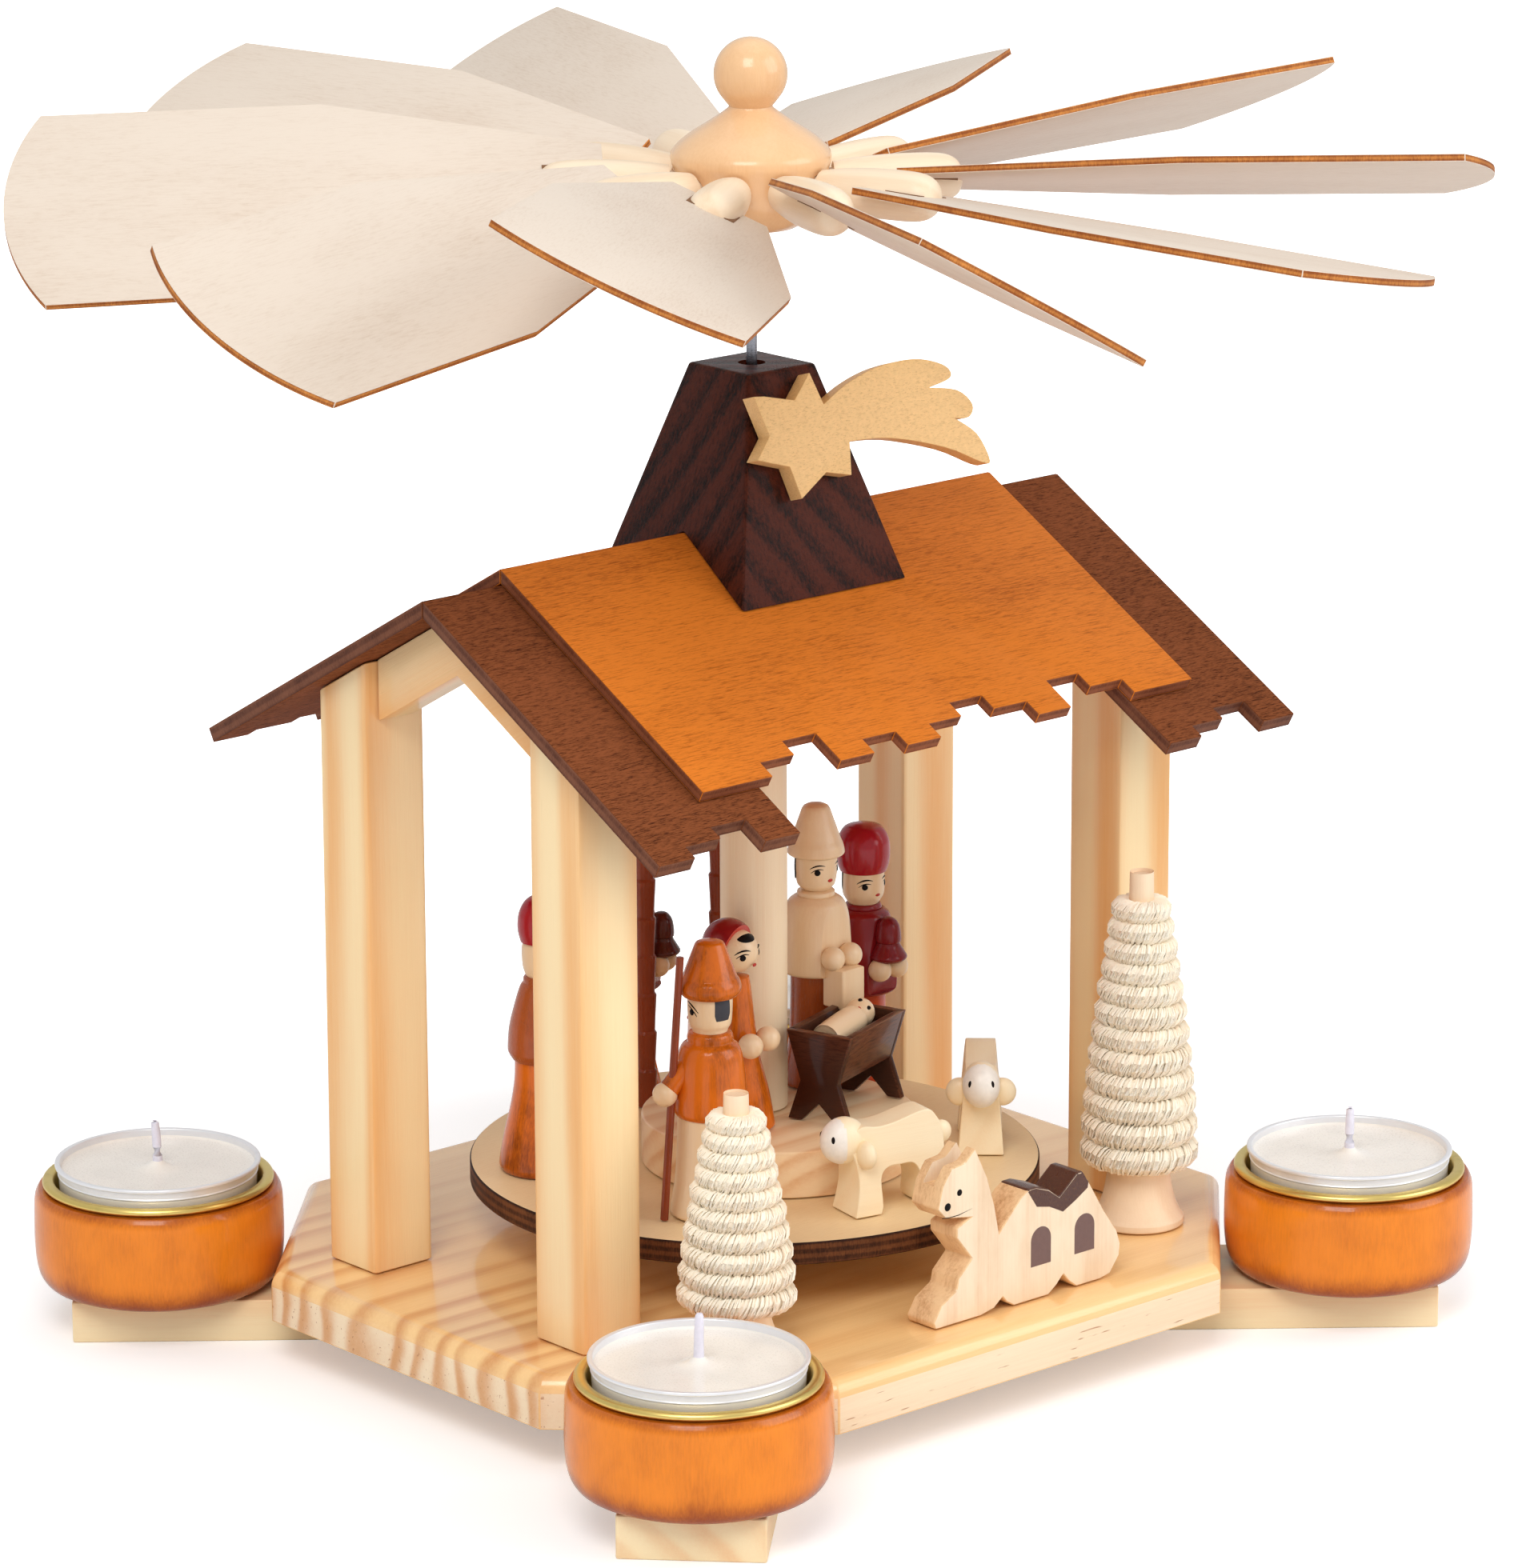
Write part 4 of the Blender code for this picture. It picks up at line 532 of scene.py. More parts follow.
def make_finishes():
    """Every finish of the carousel."""
    c = bpy.context.scene.carousel_colours
    pine, honey = (*c.pine, 1), (*c.honey, 1)
    timber("pine", pine, honey, 9.5, (70.0, -110.0), 7.0, 0.46, 0.08, 0.3, 0.3, gloss=0.12)
    timber("board", shade(255, 212, 148), shade(204, 124, 54), 7.4, (0.0, -200.0), 16.0, 0.44, 0.14, 0.22,
           0.7, fade=(-20.0, -80.0), gloss=0.08)
    # Sides and chamfer of the board: the board's wood painted paler, painted light for the light falling on
    # them; the flecks are its grain.
    timber("board_side_painted_light", shade(252, 230, 196), shade(220, 160, 104), 7.4, (0.0, -200.0), 16.0, 0.7, 0.14,
           0.34, 0.2, fleck=0.75, fade=(-40.0, -80.0))
    timber("slat", shade(255, 234, 190), shade(240, 180, 122), 7.0, (70.0, 90.0), 6.0, 0.3, 0.12)
    timber("pale", shade(255, 226, 184), shade(226, 164, 104), 4.2, (70.0, -90.0), 9.0, 0.4, 0.16)
    timber("column", shade(255, 234, 198), shade(232, 182, 128), 5.0, (70.0, -90.0), 3.0, 0.12, 0.16)
    timber("hub", shade(242, 198, 150), shade(210, 146, 92), 5.0, (50.0, 30.0), 2.0, 0.05, 0.16, 0.22, 0.5,
           specular=0.3, gloss=0.1)
    timber("peg", shade(248, 228, 200), shade(220, 176, 128), 4.0, (40.0, -35.0), 3.0, 0.2, 0.12)
    timber("natural", shade(250, 222, 182), shade(222, 168, 112), 4.0, (40.0, 30.0), 3.0, 0.16, 0.14, 0.3,
           0.35)
    timber("camel", shade(250, 228, 198), shade(216, 170, 124), 5.0, (60.0, -75.0), 6.0, 0.2, 0.2, 0.55, 0.05,
           0.00006, mottle=0.5)
    timber("camel_edge", shade(246, 208, 160), shade(186, 126, 74), 5.0, (60.0, -75.0), 6.0, 0.2, 0.5, 0.6,
           0.0, 0.0001, mottle=0.9)
    timber("sheep", shade(255, 238, 202), shade(240, 198, 146), 5.0, (50.0, -79.0), 4.0, 0.16, 0.12, 0.4,
           0.25)
    timber("shaving", shade(255, 247, 229), shade(255, 216, 178), 4.0, (40.0, 31.0), 3.0, 0.1, 0.3, 0.6, 0.0,
           specular=0.1)
    timber("tree_foot", shade(252, 226, 194), shade(226, 182, 136), 4.0, (40.0, 30.0), 3.0, 0.16, 0.14, 0.6,
           0.0)
    timber("chimney", shade(88, 37, 21), shade(16, 6, 4), 4.6, (60.0, 80.0), 5.0, 0.5, 0.8, 0.22, 0.08,
           0.0004, specular=0.08)
    plywood("orange_face", shade(222, 126, 42), shade(146, 70, 16), 0.5, 0.62, 0.7, length=0.08, specular=0.1,
            fine=1.6)
    plywood("dark_face", shade(140, 80, 48), shade(56, 28, 18), 0.6, 0.9, 0.35, 0.00004, 0.1, specular=0.02,
            fine=2.2)
    sawn_edge("orange_edge", shade(150, 88, 58), shade(86, 42, 26), 3, 2.3)
    sawn_edge("dark_edge", shade(128, 80, 58), shade(70, 36, 26), 3, 2.8)
    plywood("blade_face", shade(227, 212, 196), shade(196, 170, 146), 0.55, 0.26, 0.8)
    sawn_edge("blade_edge", shade(222, 146, 72), shade(140, 74, 34), 3, 1.4, 0.0)
    plywood("disc_face", shade(242, 214, 168), shade(218, 180, 126), 0.45, 0.25, 0.3)
    sawn_edge("disc_edge", shade(128, 78, 46), shade(46, 24, 16), 5, 4.2, 0.35)
    cup = (*c.cup, 1)
    stain("cup", cup, shade(146, 60, 12), rise=0.7, height=18.8, rough=0.22, coat=0.4, blotch=0.7, fleck=0.5,
          specular=0.2)
    stain("robe", shade(226, 114, 22), shade(86, 33, 9), rough=0.2, coat=0.35, fleck=0.9, blotch=1.7,
          specular=0.2)
    stain("skirt", shade(178, 88, 38), shade(104, 44, 20), rough=0.26, fleck=0.7, blotch=1.2)
    stain("red", shade(178, 22, 40), shade(120, 8, 20), rough=0.2, coat=0.4, fleck=0.3, specular=0.25)
    stain("hood", shade(146, 22, 28), shade(88, 8, 14), rough=0.24, fleck=0.3, specular=0.25)
    stain("rim", shade(196, 60, 46), shade(150, 30, 28), rough=0.3, fleck=0.3)
    stain("orange_red", shade(204, 76, 34), shade(146, 40, 20), rough=0.28)
    stain("wine", shade(132, 24, 32), shade(80, 10, 16), rough=0.28, specular=0.2)
    stain("vessel", shade(94, 38, 30), shade(50, 18, 16), rough=0.24, specular=0.25)
    stain("palm", shade(150, 68, 38), shade(84, 34, 20), rough=0.28, specular=0.2)
    stain("manger", shade(58, 28, 20), shade(28, 13, 9), shade(140, 84, 56), 0.34, specular=0.12)
    paint("gold", shade(250, 206, 140), 0.42, speckle=0.5)
    paint("brown", shade(118, 90, 84), 0.45)
    paint("saddle", shade(84, 54, 46), 0.3, 0.2, speckle=0.25)
    paint("black", shade(22, 16, 16), 0.35, 0.0, 0.1)
    paint("slate", shade(70, 70, 76), 0.4, 0.0, 0.15)
    paint("mouth", shade(190, 50, 40), 0.3)
    paint("white", shade(250, 244, 234), 0.35)
    # The slot finish is painted shade: the brown of the dark gap where each blade enters its peg.
    paint("slot", shade(130, 92, 62), 0.7, 0.0)
    metal("brass", shade(236, 208, 124), 0.3, 0.08)
    metal("can", shade(240, 240, 243), 0.34, 0.08, 0.4, tarnish=0.06)
    metal("steel", shade(150, 152, 160), 0.26, 0.12)
    stain("wax", shade(248, 242, 233), shade(226, 220, 212), bump=0.000001, fleck=0.05, blotch=1.2)
    paint("wick", shade(236, 232, 244), 0.7, 0.0)


def make_stand():
    """The two slats, the moulded board and the bearing pan."""
    s = bpy.context.scene.carousel_sizes
    reach, half = s.slat_reach / MM, s.slat_width / MM / 2
    thick, lap, gap = 8, 15, 0.15
    middle = thick / 2
    over = [(-reach, 0), (reach, 0), (reach, thick), (lap, thick), (lap, middle - gap), (-lap, middle - gap),
            (-lap, thick), (-reach, thick)]
    under = [(-reach, thick), (-reach, 0), (-lap, 0), (-lap, middle + gap), (lap, middle + gap), (lap, 0),
             (reach, 0), (reach, thick)]
    slats = (("slat_left_right", -40.2, over, 3), ("slat_front_back", 43.5, under, 8))
    for name, angle, outline, seed in slats:
        bm = moved(side_cut(outline, 2 * half, 0.5, 3), Matrix.Translation((0, -half * MM, 0)))
        piece = Piece(f"{name}.wood", seed)
        piece.take(bm, "slat", lift(turn=math.radians(angle)), GRAIN_ALONG_X)
        piece.place("stand", "pale_wood", name)
    x, y, corner, thick = 85.0, 75.9, 37.4, 9.95
    right = [(x - corner, -y), (x, corner - y), (x, y - corner), (x - corner, y)]
    bm = sawn(right + [(-px, -py) for px, py in right], thick, edge=1)
    top = [e for e in bm.edges if all(v.co.z > 0.005 for v in e.verts)]
    bmesh.ops.bevel(bm, geom=top, offset=3.2 * MM, segments=8, profile=0.5, affect="EDGES")
    ease_edges(bm, 0.25, 2, 28)
    bm = carve(bm, dowel((0, 0, 5.95), (0, 0, 12), 5.3, 5.3, 48))
    piece = Piece("base_board.wood")
    # Top and bottom take the board's wood; the sides and chamfer take its paler copy with painted light.
    piece.take(bm, ("board", "board_side_painted_light"), lift(z=LOW["base_board"].z), GRAIN_ALONG_X)
    piece.place("stand", "pine", "base_board")
    runs = [
        (0, (0, 0), (4.7, 0)), (0, (4.93, 0.07), (5, 0.3)), (0, (5, 4.3)),
        (0, (4.8, 4.58), (4.2, 4.5), (3.9, 4.3)), (0, (3.0, 3.0), (1.2, 1.75), (0, 1.4)),
    ]
    piece = Piece("bearing_pan.brass").take(lathe(runs, 48), "brass", lift(z=LOW["bearing_pan"].z))
    piece.place("stand", "brass", "bearing_pan")


ROOF_SLOPE = 0.555
STRETCH = math.hypot(1, ROOF_SLOPE)


def make_posts():
    """Four posts and the two gable frames, cut to the slope of the roof."""
    under = HIGH["roof_dark_front_left"].z - 2.8 * MM * STRETCH
    for side, sx in (("left", -1), ("right", 1)):
        for end, sy in (("front", -1), ("back", 1)):
            name = f"post_{side}_{end}"
            low, high = LOW[name], HIGH[name]
            half, inner = 6.75, 22.95
            outer = inner + 2 * half
            tops = [(under / MM - ROOF_SLOPE * y - 0.3 * STRETCH) - low.z / MM for y in (inner, outer)]
            outline = [(-half, 0), (half, 0), (half, tops[1]), (-half, tops[0])]
            bm = upright([(sy * y, z) for y, z in outline], -half, half)
            upward = [e for e in bm.edges if abs(e.verts[0].co.z - e.verts[1].co.z) > 0.05]
            bmesh.ops.bevel(bm, geom=upward, offset=1.0 * MM, segments=4, profile=0.6, affect="EDGES")
            ease_edges(bm, 0.2, 1, 40)
            middle = (low + high) / 2
            piece = Piece(f"{name}.wood", 11 + len(name) + sx + 3 * sy)
            piece.take(bm, "pine", lift(middle.x, middle.y, low.z)).place("stand", "pine", name)
        name = f"gable_frame_{side}"
        reach = HIGH[name].y / MM
        upper = [(y, HIGH[name].z / MM - ROOF_SLOPE * abs(y)) for y in (-reach, 0, reach)]
        lower = [(y, z - 10.0 * STRETCH) for y, z in reversed(upper)]
        bm = upright(upper + lower, -4, 4, 0.4)
        turn = Matrix.Rotation(math.atan(ROOF_SLOPE), 4, "X")
        piece = Piece(f"{name}.wood", 30 + sx).take(bm, "pine", lift(66 * MM * sx), GRAIN_ALONG_Y @ turn)
        piece.place("stand", "pine", name)


def eave_board(start, end, run, step, levels, thick):
    """A roof board laid flat, as (x, distance down the slope), with its stepped lower edge."""
    tooth = 8.05
    points = [(start, 0), (start, run - step * levels[0])]
    for index, level in enumerate(levels[1:], 1):
        x = start + tooth * index
        if x < end - tooth / 2 and level != levels[index - 1]:
            points += [(x, run - step * levels[index - 1]), (x, run - step * level)]
    points += [(end, points[-1][1]), (end, 0)]
    bm = sawn(points, thick, edge=1)
    slope = math.atan(ROOF_SLOPE)
    for vert in bm.verts:
        if vert.co.y < 1e-6:
            vert.co.y = (thick * MM - vert.co.z) * math.tan(slope) + 0.15 * MM
    return ease_edges(bm, 0.12, 2, 25)


def make_roof():
    """Two orange boards over four dark ones, all with stepped eaves."""
    slope = math.atan(ROOF_SLOPE)
    sides = (("front", -1), ("back", 1))
    boards = [(f"roof_dark_{end}_{hand}", side, "dark", 72.6, 3.0, (0, 1, 2, 0), 2.8, start, start + 32.2)
              for end, side in sides for hand, start in (("left", -77.5), ("right", 45.3))]
    levels = (0, 0, 1, 2, 0, 1, 0, 1, 2, 1, 0, 2, 1, 0, 0)
    boards += [(f"roof_orange_{end}", side, "orange", 62.2, 3.8, levels, 2.3, -59.7, 59.7)
               for end, side in sides]
    for name, side, kind, run, step, steps, thick, start, end in boards:
        bm = eave_board(start, end, run, step, steps, thick)
        bm = moved(bm, Matrix.Translation((0, 0, -thick / 2 * MM)))
        ridge = HIGH[name].z
        down = Vector((0, side * math.cos(slope), -math.sin(slope)))
        out = Vector((0, side * math.sin(slope), math.cos(slope)))
        place = Matrix((Vector((1, 0, 0)), down, out)).transposed().to_4x4()
        place = Matrix.Translation(Vector((0, 0, ridge)) - out * thick / 2 * MM) @ place
        if kind == "orange":
            bore = dowel((0, 0, ridge / MM - 20), (0, 0, ridge / MM + 20), 2.5, 2.5, 32)
            bm = carve(bm, moved(bore, place.inverted()))
        faces = (f"{kind}_face", f"{kind}_edge")
        slot = "orange_stain" if kind == "orange" else "walnut_stain"
        Piece(f"{name}.ply").take(bm, faces, place, GRAIN_ALONG_X).place("stand", slot, name)


COMET = (
    (-0.16, 0.155), (-0.115, 0.15), (0.01, 0.12), (0.095, 0.20), (0.13, 0.09), (0.24, 0.14), (0.37, 0.175),
    (0.50, 0.185), (0.60, 0.175), (0.69, 0.14), (0.70, 0.10), (0.60, 0.08), (0.72, 0.055), (0.775, 0.0),
    (0.75, -0.04), (0.685, -0.035), (0.77, -0.10), (0.805, -0.195), (0.765, -0.195), (0.62, -0.125),
    (0.39, -0.06), (0.21, -0.045), (0.19, -0.155), (0.085, -0.13), (-0.04, -0.20), (-0.065, -0.09),
    (-0.195, -0.05), (-0.125, 0.02),
)


def make_chimney():
    """The spire astride the ridge, bored for the spindle, and the gilt comet on its front."""
    top = HIGH["chimney"].z / MM
    ridge = HIGH["roof_orange_front"].z / MM
    foot, lip = 20.1, 8.2
    low = ridge - ROOF_SLOPE * foot
    bm = bmesh.new()
    ends = []
    for half, level in ((foot, low), (lip, top)):
        corners = ((-half, -half), (half, -half), (half, half), (-half, half))
        ends.append([bm.verts.new((x * MM, y * MM, level * MM)) for x, y in corners])
    for i in range(4):
        bm.faces.new((ends[0][i - 1], ends[0][i], ends[1][i], ends[1][i - 1]))
    bm.faces.new(reversed(ends[0]))
    bm.faces.new(ends[1])
    ease_edges(bm, 0.7, 3)
    saddle = ridge + 0.3 * STRETCH
    eave = saddle - ROOF_SLOPE * 24
    bm = carve(bm, upright([(-24, eave), (0, saddle), (24, eave), (24, low - 24), (-24, low - 24)], -24, 24))
    bm = carve(bm, dowel((0, 0, low - 5), (0, 0, top + 5), 2.5, 2.5, 48))
    lean_grain = Matrix.Rotation(math.radians(6), 4, "Y") @ Matrix.Rotation(math.radians(-9), 4, "X")
    piece = Piece("chimney.wood").take(bm, "chimney", grain=lean_grain)
    piece.place("stand", "dark_stain", "chimney")
    tail = smooth_curve(COMET[4:12], 4)[:-1] + smooth_curve(COMET[11:16], 4)[:-1]
    tail += smooth_curve(COMET[15:22], 4)
    bm = sawn([(x * 55.4 - 2.0, y * 55.4) for x, y in (*COMET[:4], *tail, *COMET[22:])], 3.3, 0.35, 3)
    lean = math.atan2(foot - lip, top - low)
    face = Vector((0, -math.cos(lean), math.sin(lean)))
    middle = Vector((0, -lip - 12.2 * math.tan(lean), top - 12.2))
    place = Matrix.Translation((middle + face * 0.3) * MM) @ Matrix.Rotation(math.pi / 2 - lean, 4, "X")
    Piece("comet.gilt").take(bm, "gold", place, GRAIN_ALONG_X).place("stand", "gold_paint", "comet")


CUP = (
    (19.98, 0.12), (21.62, 0.94), (22.8, 3.2), (23.31, 7.52), (23.31, 13.16), (23.12, 16.92), (22.56, 18.4),
)


def make_candles():
    """Cup, brass liner and tea light at each end of each slat."""
    lip = 18.8
    cup = [
        (0, (0, 0), (19.6, 0)), (0, *CUP, (22.2, lip)), (0, (20.5, lip)), (0, (20.3, lip - 0.2)),
        (0, (20.3, 6.2)), (0, (0, 6.2)),
    ]
    seat = lip + 0.3
    liner = [
        (0, (0, 6.5), (19.6, 6.5)), (0, (19.9, 6.6), (20.0, 6.9)), (0, (20.0, seat)), (0, (21.3, seat)),
        (0, (21.6, seat + 0.3), (21.6, seat + 0.8), (21.2, seat + 1.2), (20.4, seat + 1.3),
         (19.7, seat + 1.1), (19.4, seat + 0.6)),
        (0, (19.4, 7.1)), (0, (0, 7.1)),
    ]
    base, rim = 7.4, 23.4
    wax = rim - 1.6
    light = [
        (0, (0, base), (17.7, base)), (0, (17.95, base + 0.1), (18.05, base + 0.4)),
        (0, (18.55, rim - 2.4)), (0, (18.75, rim - 2.15), (18.6, rim - 1.9)), (0, (18.6, rim - 0.7)),
        (0, (19.15, rim - 0.65), (19.25, rim - 0.3), (19.1, rim - 0.02), (18.6, rim)),
        (0, (18.3, rim - 0.1), (18.2, rim - 0.4)), (0, (18.2, wax + 0.3)),
        (1, (17.6, wax + 0.02), (16.0, wax - 0.05), (9.0, wax - 0.12), (5.0, wax - 0.08), (3.2, wax + 0.15),
         (1.9, wax + 0.6), (1.05, wax + 1.3)),
        (1, (0, wax + 1.35)),
    ]
    for index, name in enumerate(("right", "back", "left", "front")):
        low, high = LOW[f"cup_{name}"], HIGH[f"cup_{name}"]
        place = lift((low.x + high.x) / 2, (low.y + high.y) / 2, low.z, 0.7 * index)
        piece = Piece(f"cup_{name}.wood").take(lathe(cup, 96), "cup", place)
        piece.place("stand", "cup_stain", f"cup_{name}")
        piece = Piece(f"cup_liner_{name}.brass", 51 + index).take(lathe(liner, 96), "brass", place)
        piece.place("stand", "brass", f"cup_liner_{name}")
        piece = Piece(f"tea_light_{name}.wax", 61 + index)
        piece.take(lathe(light, 96), ("can", "wax"), place)
        chance = random.Random(index)
        lean = Vector((chance.uniform(-0.3, 0.3), chance.uniform(-0.3, 0.3), 0))
        tall = (HIGH[f"tea_light_{name}"].z - low.z) / MM - wax - 0.9
        path = [Vector((0, 0, wax + 0.7)) + lean * (t * t) + Vector((0, 0, tall * t - 0.1))
                for t in (0, 0.2, 0.4, 0.6, 0.8, 0.95, 1)]
        radii = [r * MM for r in (1.0, 0.9, 0.85, 0.84, 0.8, 0.74, 0.5)]
        piece.take(rope([p * MM for p in path], radii, 14), "wick", place)
        piece.place(f"tea_light_{name}", "light", f"tea_light_{name}")


def make_trees():
    """The two shaved trees: a turned foot and rings of curled shavings."""
    for name, height, radius, count in (("right", 67.5, 10.95, 12), ("front", 47.0, 10.5, 10)):
        low, high = LOW[f"tree_{name}"], HIGH[f"tree_{name}"]
        chance = random.Random(count)
        piece = Piece(f"tree_{name}.shaving")
        foot = height * 0.175
        crown = height * 0.93
        runs = [
            (0, (0, 0), (8.3, 0)), (0, (8.6, 0.3), (8.6, foot * 0.11)),
            (0, (7.9, foot * 0.19), (7.0, foot * 0.36), (6.3, foot * 0.6), (5.6, foot)),
            (0, (2.6, foot + 0.6)), (0, (2.3, crown), (2.15, height - 0.3)),
            (0, (1.9, height), (0, height)),
        ]
        place = lift((low.x + high.x) / 2, (low.y + high.y) / 2, low.z)
        piece.take(lathe(runs, 64), "tree_foot", place)
        sizes = [1 - 0.25 * i / (count - 1) for i in range(count)]
        level = foot
        core = [(0, (0, foot + 0.4), (3.0, foot + 0.4))]
        for i, size in enumerate(sizes):
            half = (crown - foot) * size / sum(sizes) / 2
            level += half
            reach = radius * (1 - 0.5 * (i / (count - 1)) ** 1.3)
            hollow = reach - half * 1.12
            arc = [(hollow + half * 0.96 * math.cos(a), level + half * 0.96 * math.sin(a))
                   for a in (math.radians(v) for v in (-88, -45, 0, 45, 88))]
            core += [(0, arc[0]), (0, *arc[1:])]
            strands = int(80 + 100 * reach / radius)
            ring = bmesh.new()
            for k in range(strands):
                start = math.tau * (k + chance.uniform(-0.4, 0.4)) / strands
                out = reach * chance.uniform(0.95, 1.03) - half * 1.12
                slant = chance.uniform(0.15, 0.5) * 10.0 / max(reach, 4)
                thick = chance.uniform(0.4, 0.8)
                path, radii = [], []
                for step in range(8):
                    t = step / 7
                    turn = math.radians(-125 + 250 * t)
                    spread = half * chance.uniform(0.98, 1.02) * 1.1
                    r = max(out + spread * math.cos(turn), 1.6)
                    rise = spread * 0.98 * math.sin(turn)
                    path.append(around(r, start + slant * (t - 0.5), level + rise) * MM)
                    radii.append((0.14 + 0.28 * math.sin(math.pi * (0.1 + 0.8 * t))) * thick * MM)
                rope(path, radii, 4, ring)
            piece.take(ring, "shaving", place)
            level += half
        core.append((0, (0, arc[-1][1])))
        piece.take(lathe(core, 48), "shaving", place)
        piece.place("stand", "pale_wood", f"tree_{name}", angle=60)


CAMEL = (
    (0.0, 0.04), (0.04, 0.13), (0.12, 0.195), (0.13, 0.26), (0.20, 0.355), (0.12, 0.50), (0.12, 0.56),
    (0.19, 0.60), (0.06, 0.635), (0.02, 0.70), (0.045, 0.83), (0.09, 0.92), (0.16, 0.93), (0.215, 1.0),
    (0.28, 0.81), (0.32, 0.63), (0.345, 0.46), (0.41, 0.56), (0.46, 0.63), (0.50, 0.665), (0.54, 0.665),
    (0.61, 0.63), (0.665, 0.57), (0.70, 0.61), (0.76, 0.68), (0.79, 0.68), (0.825, 0.605), (0.91, 0.405),
    (0.98, 0.265), (1.0, 0.18), (0.995, 0.11), (0.945, 0.015), (0.89, 0.0), (0.76, 0.0), (0.72, 0.045),
    (0.69, 0.095), (0.655, 0.045), (0.61, 0.0), (0.425, 0.0), (0.385, 0.035), (0.365, 0.07), (0.32, 0.02),
    (0.25, 0.0), (0.01, 0.0),
)


def dab(points):
    """A thin dab of paint on a flat front, from its (x, z) outline."""
    return side_cut(points, 0.06, 0.02, 1)


def arch(low_x, high_x, low, high):
    """The outline of a painted arch, filled."""
    half, centre = (high_x - low_x) / 2, (low_x + high_x) / 2
    angles = (math.pi * k / 14 for k in range(15))
    return [(low_x, low), *((centre - half * math.cos(a), high - half + half * math.sin(a)) for a in angles),
            (high_x, low)]


def make_camel():
    """The kneeling camel: sawn, with a cut between its ears, and painted in brown and black."""
    outline = [(x * 46.8, z * 32.1) for x, z in CAMEL]
    bm = side_cut(outline, 7.2, 0.45, 3)
    bm = carve(bm, brick((-1, 2.2, 26.1), (23.4, 5.0, 34.1)))
    bm.normal_update()
    for face in bm.faces:
        middle = face.calc_center_median() / MM
        if abs(face.normal.y) < 0.97 and 22.5 < middle.x < 38.8 and middle.z > 17:
            face.material_index = 1
        else:
            face.material_index = 2 if abs(face.normal.y) < 0.75 else 0
    place = lift(LOW["camel"].x, LOW["camel"].y, LOW["camel"].z)
    piece = Piece("camel.wood")
    piece.take(bm, ("camel", "saddle", "camel_edge"), place)
    front = lift(LOW["camel"].x, LOW["camel"].y - 0.00005, LOW["camel"].z)
    saddle = [
        (23.2, 20.9), (23.9, 21.1), (25.2, 21.1), (28.4, 19.95), (31.1, 18.0), (32.8, 19.3), (35.6, 21.5),
        (37.0, 21.5), (38.4, 19.4), (38.2, 18.4), (35.0, 16.6), (32.0, 15.2), (28.6, 16.9), (25.4, 17.6),
    ]
    for shape, colour in ((arch(24.0, 29.0, 6.3, 13.6), "brown"), (arch(35.0, 40.0, 6.3, 13.6), "brown"),
                          (saddle, "saddle")):
        piece.take(dab(shape), colour, front)
    for x, z, size in ((6.2, 24.6, 0.62), (3.3, 22.5, 0.75)):
        piece.take(bead((x, 0.05, z), size, (1, 0.25, 1), 20), "black", front)
    mouth = [(1.9, 20.6), (3.6, 20.35), (6.0, 20.35), (9.4, 20.95), (6.0, 20.5), (3.6, 20.5), (1.9, 20.75)]
    piece.take(dab(mouth), "black", front)
    piece.place("stand", "pale_wood", "camel")


def make_turntable():
    """The disc, the plinth on it and the column up the middle."""
    ease = 0.25
    r, t = 53.4, 4.2
    disc = [(0, (0, 0), (r - ease, 0)), (1, (r, ease)), (1, (r, t - ease)), (1, (r - ease, t)), (0, (0, t))]
    low = LOW["turntable"].z
    swap = Matrix.Rotation(math.pi / 2, 4, "Y")
    centre = Matrix.Translation((0, 0, -t / 2 * MM))
    piece = Piece("turntable.ply")
    piece.take(lathe(disc, 160), ("disc_face", "disc_edge"), lift(z=low), swap @ centre)
    piece.place("carousel", "birch_ply", "turntable")
    r, t, ease = 25.6, 8.9, 0.5
    plinth = [
        (0, (0, 0), (r - 0.2, 0)), (0, (r, 0.2)), (0, (r, t - ease)),
        (0, (r - 0.1, t - 0.15), (r - ease, t)), (0, (0, t)),
    ]
    middle = (LOW["plinth"] + HIGH["plinth"]) / 2
    place = lift(middle.x, middle.y, LOW["plinth"].z)
    piece = Piece("plinth.wood", 71).take(lathe(plinth, 128), "pale", place, GRAIN_ALONG_X)
    piece.place("carousel", "pale_wood", "plinth")
    t = (HIGH["column"].z - LOW["column"].z) / MM
    column = [
        (0, (0, 0), (6.1, 0)), (0, (6.25, 0.15)), (0, (6.25, t - 0.8)), (0, (6.0, t - 0.2), (5.45, t)),
        (0, (0, t)),
    ]
    piece = Piece("column.wood", 72).take(lathe(column, 64), "column", lift(z=LOW["column"].z))
    piece.place("carousel", "pale_wood", "column")


HUB = (
    (8.47, 0.0), (10.22, 1.31), (13.14, 5.23), (14.02, 10.03), (14.6, 12.43), (14.02, 14.17), (11.39, 16.57),
    (7.3, 19.18), (4.53, 21.15), (3.94, 21.8),
)


def blade_angle(k):
    return math.radians(-35.7 + 36 * k)


